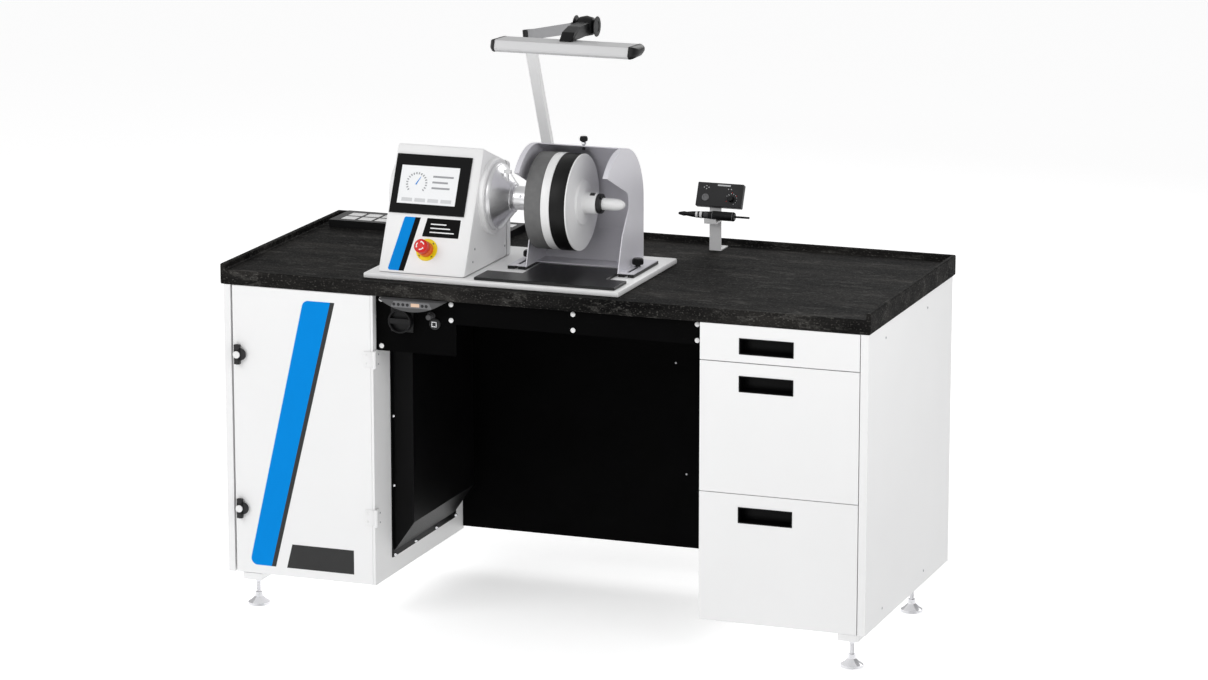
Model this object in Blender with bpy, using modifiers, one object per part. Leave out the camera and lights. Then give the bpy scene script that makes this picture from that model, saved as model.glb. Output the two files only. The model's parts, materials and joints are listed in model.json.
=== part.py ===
"""Watch-case polishing bench: desk, wheel polisher with dust hood, arm lamp, tray and micromotor.

Metres, +Z up. X runs along the bench, -Y is the operator's side, the origin is on the floor at the
middle of the footprint. Every moving piece has its origin on its joint's axis.
"""
import math

import bmesh
import bpy
from mathutils import Matrix, Vector

# ---------------------------------------------------------------- driving dimensions
GAP = 0.0003                        # clearance between touching pieces

BENCH_HALF = 0.900                  # half the worktop's length
DEPTH_HALF = 0.392                  # half the worktop's depth
WORKTOP_Z = 0.923                   # worktop surface above the floor
SLAB = 0.038                        # worktop thickness
STRIP_HEIGHT = 0.017                # raised edge strip
STRIP_WIDTH = 0.012

CABINET_BOTTOM = 0.096
CABINET_BACK = 0.2335               # rear face of both carcasses
PANEL_BACK = 0.375                  # the outer end panels run further back
SHEET = 0.016                       # carcass board
FRONT_BOARD = 0.018                 # door and drawer fronts
LEFT_OUTER = (-0.8905, -0.8715)     # left end panel, along X
LEFT_INNER = (-0.4679, -0.4614)     # left cabinet's thin inner panel
RIGHT_INNER = (0.4484, 0.4664)
RIGHT_OUTER = (0.8755, 0.8965)

PLATE_TOP = 0.938                   # top of the polisher's base plate
SPINDLE_Y = -0.135
SPINDLE_Z = 1.1205
WHEEL_RADIUS = 0.1285
SHAFT_RADIUS = 0.015

HOUSING_X = (-0.4695, -0.2232)
HOUSING_FRONT = -0.338              # foot of the sloping front face
HOUSING_BACK = -0.032
HOUSING_TOP_FRONT = (-0.191, 1.258)
TOP_FALL = 0.369                    # the roof falls this much for each metre to the rear
WALL = 0.003

HOOD_X = (-0.112, 0.148)
HOOD_SHEET = 0.0025
HOOD_CENTRE = (-0.143, 1.115)       # centre of the hood's arch, as (Y, Z)
HOOD_RADIUS = 0.156
HOOD_FOOT_Z = 0.9463

LAMP_BASE = (-0.2205, 0.352)        # swivel axis, as (X, Y)
LAMP_PIVOT_Z = 1.000
ELBOW = (-0.2205, 0.126, 1.512)
KNUCKLE = (0.046, -0.145, 1.590)
REACH = 0.417                       # furthest front and rear extent of the whole bench

ROUND = 40                          # sides of a large round piece
SMALL_ROUND = 20

X_AXIS = Vector((1.0, 0.0, 0.0))
Y_AXIS = Vector((0.0, 1.0, 0.0))
Z_AXIS = Vector((0.0, 0.0, 1.0))

COLOURS = {                         # base colour, roughness, metallic
    "white_coat": ((0.86, 0.86, 0.85), 0.40, 0.0),
    "laminate": ((0.035, 0.034, 0.033), 0.50, 0.0),
    "black_coat": ((0.012, 0.012, 0.013), 0.45, 0.0),
    "black_plastic": ((0.020, 0.020, 0.021), 0.45, 0.0),
    "grey_plastic": ((0.120, 0.120, 0.120), 0.50, 0.0),
    "chrome": ((0.80, 0.80, 0.82), 0.12, 1.0),
    "polished_aluminium": ((0.82, 0.82, 0.83), 0.15, 1.0),
    "brushed_aluminium": ((0.62, 0.62, 0.63), 0.35, 1.0),
    "steel": ((0.50, 0.50, 0.52), 0.30, 1.0),
    "hood_sheet": ((0.52, 0.51, 0.56), 0.45, 0.0),
    "grey_wheel": ((0.12, 0.12, 0.12), 0.75, 0.0),
    "black_wheel": ((0.015, 0.015, 0.015), 0.70, 0.0),
    "white_plastic": ((0.84, 0.84, 0.83), 0.40, 0.0),
    "red_plastic": ((0.75, 0.02, 0.02), 0.30, 0.0),
    "yellow_plastic": ((0.90, 0.68, 0.02), 0.40, 0.0),
    "rubber": ((0.018, 0.018, 0.018), 0.60, 0.0),
    "screen": ((0.010, 0.010, 0.011), 0.15, 0.0),
    "motor_steel": ((0.30, 0.31, 0.33), 0.45, 1.0),
}


# ---------------------------------------------------------------- scene and materials
def clear_scene():
    """Remove every object, so that the script can be run again."""
    for thing in list(bpy.data.objects):
        bpy.data.objects.remove(thing, do_unlink=True)


def new_collection(name):
    """Make a collection linked to the scene."""
    made = bpy.data.collections.new(name)
    bpy.context.scene.collection.children.link(made)
    return made


clear_scene()
PARTS = new_collection("polishing_bench")
CUTTERS = new_collection("cutters")


def material(piece, kind):
    """Give the piece a Principled material of its own."""
    colour, roughness, metallic = COLOURS[kind]
    made = bpy.data.materials.new(piece.name + "_" + kind)
    made.use_nodes = True
    shader = made.node_tree.nodes["Principled BSDF"]
    shader.inputs["Base Color"].default_value = (*colour, 1.0)
    shader.inputs["Roughness"].default_value = roughness
    shader.inputs["Metallic"].default_value = metallic
    piece.data.materials.clear()
    piece.data.materials.append(made)


def empty(name, location, rotation=(0.0, 0.0, 0.0), parent=None):
    """A guide that others are parented to."""
    guide = bpy.data.objects.new(name, None)
    PARTS.objects.link(guide)
    guide.location = location
    guide.rotation_euler = rotation
    guide.parent = parent
    return guide


# ---------------------------------------------------------------- shapes
def place(mesh, name, kind, origin, parent=None):
    """Make an object of the mesh; with no material kind it is a cutter."""
    piece = bpy.data.objects.new(name, mesh)
    piece.location = origin
    piece.parent = parent
    if kind is None:
        CUTTERS.objects.link(piece)
        piece.hide_render = True
        piece.display_type = "WIRE"
    else:
        PARTS.objects.link(piece)
        material(piece, kind)
    return piece


def finish_mesh(bm, name, smooth_angle=None):
    """Turn a bmesh into a mesh, shaded smooth where it is round."""
    mesh = bpy.data.meshes.new(name)
    bm.to_mesh(mesh)
    bm.free()
    if smooth_angle is not None:
        mesh.shade_smooth()
        mesh.set_sharp_from_angle(angle=math.radians(smooth_angle))
    return mesh


def box(name, kind, x, y, z, origin=(0.0, 0.0, 0.0), parent=None):
    """A box between the given limits, in the frame of its parent."""
    bm = bmesh.new()
    bmesh.ops.create_cube(bm, size=1.0)
    size = Vector((x[1] - x[0], y[1] - y[0], z[1] - z[0]))
    middle = Vector((x[0] + x[1], y[0] + y[1], z[0] + z[1])) / 2
    bmesh.ops.scale(bm, vec=size, verts=bm.verts)
    bmesh.ops.translate(bm, vec=middle - Vector(origin), verts=bm.verts)
    return place(finish_mesh(bm, name), name, kind, origin, parent)


def rod(name, kind, start, end, radius, origin=None, sides=SMALL_ROUND, parent=None, end_radius=None):
    """A cylinder or cone between two points."""
    start = Vector(start)
    end = Vector(end)
    origin = start if origin is None else Vector(origin)
    along = end - start
    turn = along.to_track_quat("Z", "X").to_matrix().to_4x4()
    bm = bmesh.new()
    bmesh.ops.create_cone(bm, cap_ends=True, segments=sides, radius1=radius,
                          radius2=radius if end_radius is None else end_radius, depth=along.length)
    bmesh.ops.transform(bm, matrix=Matrix.Translation((start + end) / 2 - origin) @ turn, verts=bm.verts)
    return place(finish_mesh(bm, name, 40), name, kind, origin, parent)


def turned(name, kind, profile, origin, axis=X_AXIS, sides=ROUND, parent=None):
    """Turn a closed profile of (distance along the axis, radius) points about the axis.

    The profile's outer side runs from the far end of the axis to the near end, and a solid
    piece's profile starts and ends on the axis.
    """
    bm = bmesh.new()
    rows = [bm.verts.new((radius, 0.0, along)) for along, radius in profile]
    for first, second in zip(rows, rows[1:]):
        bm.edges.new((first, second))
    if profile[0][1] > 0.0:
        bm.edges.new((rows[-1], rows[0]))
    mesh = finish_mesh(bm, name)
    piece = place(mesh, name, kind, origin, parent)
    piece.rotation_euler = Vector(axis).to_track_quat("Z", "X").to_euler()
    screw = piece.modifiers.new("turn", "SCREW")
    screw.axis = "Z"
    screw.angle = math.radians(360)
    screw.steps = sides
    screw.render_steps = sides
    screw.use_merge_vertices = True
    screw.merge_threshold = 0.00001
    screw.use_smooth_shade = False
    return piece


def outline(name, kind, points, x, origin=(0.0, 0.0, 0.0), parent=None):
    """A flat outline of (Y, Z) points, drawn counter-clockwise and as thick as the X limits."""
    return extruded(name, kind, points, x, origin, parent, Matrix(((0, 0, 1), (1, 0, 0), (0, 1, 0))))


def plan(name, kind, points, z, origin=(0.0, 0.0, 0.0), parent=None):
    """A flat outline of (X, Y) points, as thick as the Z limits."""
    return extruded(name, kind, points, z, origin, parent, Matrix.Identity(3))


def extruded(name, kind, points, limits, origin, parent, turn):
    """Fill a flat curve, extrude it between the limits and weld it into a mesh."""
    curve = bpy.data.curves.new(name + "_outline", "CURVE")
    curve.dimensions = "2D"
    curve.fill_mode = "BOTH"
    curve.extrude = (limits[1] - limits[0]) / 2
    spline = curve.splines.new("POLY")
    spline.points.add(len(points) - 1)
    for row, (first, second) in zip(spline.points, points):
        row.co = (first, second, 0.0, 1.0)
    spline.use_cyclic_u = True
    holder = bpy.data.objects.new(name + "_outline", curve)
    PARTS.objects.link(holder)
    bpy.context.view_layer.update()
    mesh = bpy.data.meshes.new_from_object(holder.evaluated_get(bpy.context.evaluated_depsgraph_get()))
    bm = bmesh.new()
    bm.from_mesh(mesh)
    bmesh.ops.remove_doubles(bm, verts=bm.verts, dist=0.000001)
    bmesh.ops.translate(bm, vec=(0.0, 0.0, (limits[0] + limits[1]) / 2), verts=bm.verts)
    bmesh.ops.transform(bm, matrix=turn.to_4x4(), verts=bm.verts)
    bmesh.ops.translate(bm, vec=-Vector(origin), verts=bm.verts)
    bmesh.ops.dissolve_limit(bm, angle_limit=math.radians(1), verts=bm.verts, edges=bm.edges)
    bmesh.ops.recalc_face_normals(bm, faces=bm.faces)
    bpy.data.objects.remove(holder, do_unlink=True)
    return place(finish_mesh(bm, name, 30), name, kind, origin, parent)


def arc(centre, radius, start, end, steps):
    """Points along an arc, with the angles in degrees."""
    turns = [math.radians(start + (end - start) * step / steps) for step in range(steps + 1)]
    return [(centre[0] + radius * math.cos(turn), centre[1] + radius * math.sin(turn)) for turn in turns]


def combine(piece, operation, tools):
    """Cut the tools out of the piece, or join them to it."""
    for tool in tools:
        boolean = piece.modifiers.new(tool.name, "BOOLEAN")
        boolean.operation = operation
        boolean.solver = "EXACT"
        boolean.object = tool


def cut(piece, *tools):
    """Cut the tools out of the piece."""
    combine(piece, "DIFFERENCE", tools)


def join(piece, *tools):
    """Join the tools to the piece."""
    combine(piece, "UNION", tools)


def soften(piece, width, segments=1):
    """Round the sharp edges."""
    bevel = piece.modifiers.new("soften", "BEVEL")
    bevel.width = width
    bevel.segments = segments
    bevel.limit_method = "ANGLE"
    bevel.angle_limit = math.radians(50)


# ---------------------------------------------------------------- desk
def worktop():
    """Laminate slab with a raised strip along its sides and rear."""
    slab_bottom = WORKTOP_Z - SLAB
    slab = box("worktop", "laminate", (-BENCH_HALF, BENCH_HALF), (-DEPTH_HALF, DEPTH_HALF),
               (slab_bottom, WORKTOP_Z + STRIP_HEIGHT))
    inner = BENCH_HALF - STRIP_WIDTH
    cut(slab, box("worktop_well", None, (-inner, inner), (-DEPTH_HALF - SLAB, DEPTH_HALF - STRIP_WIDTH),
                  (WORKTOP_Z, WORKTOP_Z + SLAB)))
    soften(slab, 0.0025)


def left_carcass():
    """Left cabinet: end panel, inner panel with its opening, floor and back."""
    top = WORKTOP_Z - SLAB - GAP
    carcass = box("left_carcass", "white_coat", (LEFT_OUTER[0], LEFT_INNER[1]), (-DEPTH_HALF, PANEL_BACK),
                  (CABINET_BOTTOM, top))
    inside = (LEFT_OUTER[1], LEFT_INNER[0])
    cut(carcass,
        box("left_interior", None, inside, (-0.5, CABINET_BACK - FRONT_BOARD), (CABINET_BOTTOM + SHEET, 1.0)),
        box("left_door_recess", None, inside, (-0.5, -DEPTH_HALF + 0.0185), (0.05, 1.0)),
        box("left_rear_void", None, (LEFT_OUTER[1], -0.44), (CABINET_BACK, 0.5), (0.05, 1.0)),
        box("left_side_opening", None, (-0.48, -0.45), (-0.262, 0.150), (0.175, 0.720)))


def right_carcass():
    """Right cabinet: inner panel, end panel, floor and back."""
    top = WORKTOP_Z - SLAB - GAP
    carcass = box("right_carcass", "white_coat", (RIGHT_INNER[0], RIGHT_OUTER[1]), (-DEPTH_HALF, PANEL_BACK),
                  (CABINET_BOTTOM, top))
    inside = (RIGHT_INNER[1], RIGHT_OUTER[0])
    cut(carcass,
        box("right_interior", None, inside, (-0.5, CABINET_BACK - FRONT_BOARD), (CABINET_BOTTOM + SHEET, 1.0)),
        box("right_front_recess", None, (0.42, RIGHT_OUTER[0]), (-0.5, -DEPTH_HALF + 0.0205), (0.05, 1.0)),
        box("right_rear_void", None, (0.42, RIGHT_OUTER[0]), (CABINET_BACK, 0.5), (0.05, 1.0)))


def knee_space():
    """Black modesty panel, front apron with its control panel, and the riveted filter cover."""
    left = LEFT_INNER[1] + GAP
    right = RIGHT_INNER[0] - GAP
    top = WORKTOP_Z - SLAB - GAP
    box("modesty_panel", "black_coat", (left, right), (0.226, 0.234), (0.104, top))
    apron = box("front_apron", "black_coat", (left, right), (-0.3700, -0.3500), (0.820, top))
    join(apron, box("control_plate", None, (left, -0.234), (-0.3700, -0.3665), (0.735, top)))
    switch_hole = rod("switch_hole", None, (-0.3856, -0.40, 0.822), (-0.3856, -0.33, 0.822), 0.0060)
    button_hole = rod("button_hole", None, (-0.3040, -0.40, 0.8385), (-0.3040, -0.33, 0.8385), 0.0060)
    cut(apron, switch_hole, button_hole)
    filter_cover(left)


def filter_cover(left):
    """Shallow sheet cover with a slanted lower face, flanged and riveted to the inner panel."""
    bulge = -0.400
    cover = box("filter_cover", "black_coat", (left, left + WALL), (-0.280, 0.169), (0.145, 0.7325))
    body = side_prism("filter_bulge", (-0.270, 0.158), left, bulge, (0.157, 0.245), 0.7245)
    hollow = side_prism("filter_hollow", (-0.268, 0.156), left - 0.01, bulge - 0.002, (0.146, 0.248), 0.7225)
    join(cover, body)
    cut(cover, hollow)


def side_prism(name, y, x_low, x_high, z_low, z_top):
    """A prism along Y whose lower face rises from the first to the second low height along X."""
    shape = plan(name, None, [(x_low, z_low[0]), (x_high, z_low[1]), (x_high, z_top), (x_low, z_top)],
                 (-y[1], -y[0]))
    shape.rotation_euler = (math.radians(90), 0.0, 0.0)
    return shape


def dust_extraction():
    """Open dust bin on the left cabinet's floor and the blower that reaches into the side cover."""
    floor = CABINET_BOTTOM + SHEET + GAP
    wall = 0.0050
    x, y = (-0.845, -0.500), (-0.290, 0.160)
    bin_box = box("filter_box", "grey_plastic", x, y, (floor, 0.560))
    cut(bin_box, box("filter_box_inside", None, (x[0] + wall, x[1] - wall), (y[0] + wall, y[1] - wall),
                     (floor + wall, 0.600)))
    middle = (-0.4997, -0.055, 0.400)
    turned("suction_blower", "motor_steel",
           [(0.087, 0.0), (0.087, 0.110), (0.075, 0.125), (0.0, 0.125), (0.0, 0.0)], middle)


def door():
    """Left cabinet's door with its two quarter-turn latches and two corner hinges."""
    axis = (-0.4560, -0.3965)
    board = box("left_door", "white_coat", (-0.8662, -0.4686), (-DEPTH_HALF, -DEPTH_HALF + FRONT_BOARD),
                (0.0968, 0.8842), origin=(*axis, 0.0))
    soften(board, 0.0012)
    for name, low in (("door_hinge_upper", 0.690), ("door_hinge_lower", 0.259)):
        hinge = rod(name, "white_plastic", (*axis, low), (*axis, low + 0.046), 0.0050)
        join(hinge, box(name + "_leaf", None, (LEFT_INNER[1] + GAP, LEFT_INNER[1] + 0.0040),
                        (-0.3940, -0.3720), (low, low + 0.046)))
    for name, middle in (("door_latch_upper", 0.6985), ("door_latch_lower", 0.2755)):
        pivot = (-0.8500, -DEPTH_HALF - GAP, middle)
        latch = rod(name, "black_plastic", pivot, (pivot[0], pivot[1] - 0.0040, middle), 0.0125, origin=pivot)
        join(latch, box(name + "_bar", None, (-0.8575, -0.8425), (pivot[1] - 0.0140, pivot[1] - 0.0030),
                        (middle - 0.0265, middle + 0.0265)))


def drawers():
    """Three drawers: a front with a finger recess, and the box behind it."""
    front = (0.4464, 0.8730)
    recess = (0.5533, 0.6965)
    recess_back = -DEPTH_HALF + 0.027
    cup = 0.003                         # wall round the recess, behind the front board
    box_sides = (0.4820, 0.8600)
    rows = (("drawer_top", 0.7880, 0.8842, 0.8050, 0.8660),
            ("drawer_middle", 0.4415, 0.7855, 0.4650, 0.7100),
            ("drawer_bottom", 0.0965, 0.4395, 0.1350, 0.3650))
    for name, low, high, box_low, box_high in rows:
        face = (-DEPTH_HALF, -DEPTH_HALF + 0.020)
        drawer = box(name, "white_coat", front, face, (low, high), origin=(0.66, -DEPTH_HALF, low))
        recess_low, recess_high = high - 0.0740, high - 0.0345
        join(drawer, box(name + "_box", None, box_sides, (face[1] - 0.001, 0.170), (box_low, box_high)),
             box(name + "_cup", None, (recess[0] - cup, recess[1] + cup), (face[1] - 0.001, recess_back + cup),
                 (recess_low - cup, recess_high + cup)))
        cut(drawer,
            box(name + "_inside", None, (box_sides[0] + 0.010, box_sides[1] - 0.010), (-0.350, 0.160),
                (box_low + 0.008, box_high + 0.05)),
            box(name + "_recess", None, recess, (-DEPTH_HALF - 0.01, recess_back), (recess_low, recess_high)))


def feet():
    """Levelling feet: mounting block, threaded stem, nut and flared pad."""
    block_top = CABINET_BOTTOM - GAP
    for name, x, y in (("foot_front_left", -0.822, -0.351), ("foot_front_right", 0.850, -0.351),
                       ("foot_rear_left", -0.822, 0.1885), ("foot_rear_right", 0.851, 0.1885)):
        foot = turned(name, "chrome",
                      [(0.080, 0.0), (0.080, 0.0050), (0.034, 0.0050), (0.034, 0.0095), (0.022, 0.0110),
                       (0.013, 0.0200), (0.007, 0.0295), (0.000, 0.0305), (0.000, 0.0)],
                      (x, y, 0.0), axis=Z_AXIS, sides=24)
        join(foot, box(name + "_block", None, (x - 0.027, x + 0.027), (y - 0.039, y + 0.039), (0.0775, block_top)))


def controls():
    """Display pod under the front edge, main switch and push button."""
    display_pod()
    switch = (-0.3856, -0.3703, 0.822)
    grip = turned("main_switch_knob", "black_plastic",
                  [(0.0100, 0.0), (0.0100, 0.0270), (0.0230, 0.0280), (0.0240, 0.0290), (0.0240, 0.0310),
                   (0.0225, 0.0320), (0.0, 0.0320), (0.0, 0.0050), (-0.0230, 0.0050), (-0.0230, 0.0)],
                  switch, axis=-Y_AXIS, sides=48)
    join(grip, box("switch_bar", None, (-0.0070, 0.0070), (-0.0278, 0.0278), (0.0090, 0.0225), parent=grip))
    turned("push_button", "grey_plastic",
           [(0.0220, 0.0), (0.0220, 0.0065), (0.0205, 0.0075), (0.0045, 0.0075), (0.0045, 0.0050),
            (-0.0180, 0.0050), (-0.0180, 0.0)], (-0.3040, -0.3703, 0.8385), axis=-Y_AXIS, sides=16)


def display_pod():
    """A slim segment of a disc that hangs under the slab and faces the operator."""
    half, sagitta = 0.0915, 0.030
    radius = (half * half + sagitta * sagitta) / (2 * sagitta)
    top = WORKTOP_Z - SLAB - GAP
    back = -0.3715
    deep = REACH + back
    pod = turned("display_pod", "grey_plastic",
                 [(deep, 0.0), (deep, radius - 0.0030), (deep - 0.0030, radius), (0.0, radius), (0.0, 0.0)],
                 (-0.3425, back, top - sagitta + radius), axis=-Y_AXIS, sides=192)
    cut(pod, box("pod_above", None, (-0.60, -0.10), (-0.50, -0.30), (top, top + 0.40)))


# ---------------------------------------------------------------- polisher
def housing_profile(inset, back, bottom):
    """The housing's side view as (Y, Z), moved inwards by the inset."""
    top_y, top_z = HOUSING_TOP_FRONT
    lean = (top_y - HOUSING_FRONT) / (top_z - PLATE_TOP)
    slide = inset * math.sqrt(1 + lean * lean)
    drop = inset * math.sqrt(1 + TOP_FALL * TOP_FALL)
    front = HOUSING_FRONT + slide
    corner_z = (top_z - drop - TOP_FALL * (front - lean * PLATE_TOP - top_y)) / (1 + TOP_FALL * lean)
    corner_y = front + lean * (corner_z - PLATE_TOP)
    rear_z = top_z - drop - TOP_FALL * (back - top_y)
    return [(front + lean * (bottom - PLATE_TOP), bottom), (back, bottom), (back, rear_z), (corner_y, corner_z)]


def housing():
    """Base plate, sheet housing with its raised ring, and rear cover."""
    bottom = PLATE_TOP + GAP
    plate = box("base_plate", "white_coat", (-0.502, 0.2125), (-0.358, 0.100), (WORKTOP_Z + GAP, PLATE_TOP))
    soften(plate, 0.0040, 2)
    shell = outline("machine_housing", "white_coat", housing_profile(0.0, HOUSING_BACK, bottom), HOUSING_X)
    soften(shell, 0.0070, 2)
    ring = turned("nose_ring", None, [(0.0130, 0.0), (0.0130, 0.0980), (0.0100, 0.1010), (-0.0015, 0.1010),
                                      (-0.0015, 0.0)], (HOUSING_X[1], SPINDLE_Y, SPINDLE_Z))
    join(shell, ring)
    inner = (HOUSING_X[0] + WALL, HOUSING_X[1] - WALL)
    cut(shell,
        outline("housing_hollow", None, housing_profile(WALL, HOUSING_BACK + 0.02, bottom - 0.02), inner),
        rod("nose_bore", None, (inner[1] - 0.01, SPINDLE_Y, SPINDLE_Z), (-0.20, SPINDLE_Y, SPINDLE_Z), 0.070,
            sides=ROUND))
    cover = outline("rear_cover", "white_coat", housing_profile(0.0, -0.0055, bottom), HOUSING_X)
    soften(cover, 0.0030)
    cut(cover, box("cover_face", None, (-0.6, 0.0), (-0.5, HOUSING_BACK + GAP), (0.9, 1.4)),
        outline("cover_hollow", None, housing_profile(WALL, -0.0085, bottom - 0.02), inner))
    turned("motor_cap", "white_coat",
           [(0.0, 0.0990), (-0.0080, 0.0970), (-0.0130, 0.0880), (-0.0140, 0.0), (-0.0120, 0.0),
            (-0.0110, 0.0860), (-0.0070, 0.0940), (0.0, 0.0950)],
           (HOUSING_X[0] - GAP, SPINDLE_Y, SPINDLE_Z))
    front_face(shell)


def front_face(shell):
    """Touch screen and emergency stop on the sloping front, in the face's own frame."""
    top_y, top_z = HOUSING_TOP_FRONT
    tilt = math.atan2(top_y - HOUSING_FRONT, top_z - PLATE_TOP)
    face = empty("front_face", (0.0, HOUSING_FRONT, PLATE_TOP), (-tilt, 0.0, 0.0))
    cosine = math.cos(tilt)
    low, high = (1.0860 - PLATE_TOP) / cosine, (1.2315 - PLATE_TOP) / cosine
    screen = box("touch_screen", "screen", (-0.4625, -0.2505), (-0.0040, -GAP), (low, high),
                 origin=(-0.3565, 0.0, low), parent=face)
    cut(screen, box("screen_window", None, (-0.4450, -0.2800), (-0.0050, -0.0030), (low + 0.026, high - 0.030),
                    parent=face))
    stop = (-0.3405, 0.0, (1.0003 - PLATE_TOP) / cosine)
    barrel = 0.0110
    turned("estop_base", "yellow_plastic",
           [(0.0245, 0.0086), (0.0245, 0.0180), (0.0030, 0.0190), (0.0030, 0.0290), (GAP, 0.0300),
            (GAP, barrel), (-0.0300, barrel), (-0.0300, 0.0), (0.0040, 0.0), (0.0040, 0.0086)],
           stop, axis=-Y_AXIS, sides=32, parent=face)
    turned("estop_button", "red_plastic",
           [(0.0500, 0.0), (0.0490, 0.0150), (0.0460, 0.0185), (0.0300, 0.0185), (0.0300, 0.0082),
            (0.0095, 0.0082), (0.0095, 0.0)], stop, axis=-Y_AXIS, sides=32, parent=face)
    cut(shell, rod("estop_hole", None, (stop[0], -0.02, stop[2]), (stop[0], 0.02, stop[2]), barrel + GAP,
                   parent=face))


def motor():
    """Stator on its foot, rotor and the two bearings inside the housing."""
    centre = (0.0, SPINDLE_Y, SPINDLE_Z)
    stator = turned("motor_stator", "motor_steel",
                    [(-0.2620, 0.0460), (-0.2620, 0.0850), (-0.4500, 0.0850), (-0.4500, 0.0460)], centre, sides=32)
    join(stator, box("motor_foot", None, (-0.410, -0.310), (SPINDLE_Y - 0.055, SPINDLE_Y + 0.055),
                     (PLATE_TOP + GAP, SPINDLE_Z - 0.060)))
    turned("motor_rotor", "steel", [(-0.2720, SHAFT_RADIUS + GAP), (-0.2720, 0.0445), (-0.4400, 0.0445),
                                    (-0.4400, SHAFT_RADIUS + GAP)], centre, sides=32)
    for name, near, outer in (("front_bearing", -0.2580, 0.0330), ("rear_bearing", -0.4650, 0.0310)):
        turned(name, "steel", [(near + 0.0140, SHAFT_RADIUS + GAP), (near + 0.0140, outer), (near, outer),
                               (near, SHAFT_RADIUS + GAP)], centre, sides=24)


def spindle():
    """Shaft, nose cone, hub sleeve, wheels, flange, nut and taper tip along one axis."""
    centre = (0.0, SPINDLE_Y, SPINDLE_Z)
    bore = SHAFT_RADIUS + GAP
    turned("spindle_shaft", "steel",
           [(0.0950, 0.0), (0.0950, 0.0080), (0.0872, 0.0080), (0.0872, SHAFT_RADIUS),
            (-0.4660, SHAFT_RADIUS), (-0.4660, 0.0)], centre, sides=24)
    cone = turned("nose_cone", "polished_aluminium",
                  [(-0.1560, 0.0323), (-0.1560, 0.0350), (-0.2010, 0.0890), (-0.2098, 0.0890), (-0.2098, 0.0323)],
                  centre)
    knob = (-0.1720, -0.1550)
    cut(cone, rod("knob_hole", None, (*knob, 1.158), (*knob, 1.200), 0.0043))
    key = rod("spindle_lock_knob", "white_plastic", (*knob, 1.1600), (*knob, 1.1900), 0.0040, sides=12)
    join(key, box("knob_wing", None, (knob[0] - 0.0100, knob[0] + 0.0100), (knob[1] - 0.0045, knob[1] + 0.0045),
                  (1.1880, 1.1970)))
    turned("hub_sleeve", "polished_aluminium",
           [(-0.0858, bore), (-0.0858, 0.0550), (-0.0930, 0.0550), (-0.0930, 0.0275), (-0.1200, 0.0275),
            (-0.1200, 0.0318), (-0.1700, 0.0318), (-0.1700, bore)], centre, sides=32)
    for name, kind, near, far in (("grey_wheel", "grey_wheel", -0.0855, -0.0402),
                                  ("spacer_wheel", "white_plastic", -0.0399, -0.0160),
                                  ("black_wheel", "black_wheel", -0.0157, 0.0270)):
        turned(name, kind, [(far, bore), (far, WHEEL_RADIUS), (near, WHEEL_RADIUS), (near, bore)], centre)
    turned("outer_flange", "white_plastic",
           [(0.0745, bore), (0.0745, 0.0280), (0.0400, 0.0280), (0.0370, 0.0560), (0.0340, 0.0590),
            (0.0305, 0.0600), (0.0300, WHEEL_RADIUS - 0.0005), (0.0273, WHEEL_RADIUS), (0.0273, bore)], centre)
    nut = turned("lock_nut", "grey_plastic", [(0.0875, bore), (0.0875, 0.0250), (0.0860, 0.0265), (0.0765, 0.0265),
                                              (0.0748, 0.0250), (0.0748, bore)], centre, sides=32)
    for turn in (45, 135):
        slot = box("nut_slot_%d" % turn, None, (0.0830, 0.0900), (-0.0300, 0.0300), (-0.0040, 0.0040))
        slot.location = centre
        slot.rotation_euler = (math.radians(turn), 0.0, 0.0)
        cut(nut, slot)
    nose = [(0.1500 - 0.0160 * (1 - math.cos(math.radians(turn))) * 1.9, 0.0160 * math.sin(math.radians(turn)))
            for turn in range(0, 91, 15)]
    turned("taper_tip", "white_plastic", nose + [(0.0880, 0.0160), (0.0880, 0.0084), (0.0960, 0.0084), (0.0960, 0.0)],
           centre, sides=24)


# ---------------------------------------------------------------- hood and mat
def hood_profile():
    """The hood's side view as (Y, Z): foot, notch round the hub, arch and straight rear."""
    rear = HOOD_CENTRE[0] + HOOD_RADIUS
    notch = arc((SPINDLE_Y, SPINDLE_Z), 0.036, -35, 72, 7)
    crown = arc(HOOD_CENTRE, HOOD_RADIUS, 141, 0, 20)
    return [(-0.184, HOOD_FOOT_Z), (-0.150, 1.0400)] + notch + crown + [(rear, HOOD_FOOT_Z)]


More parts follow.
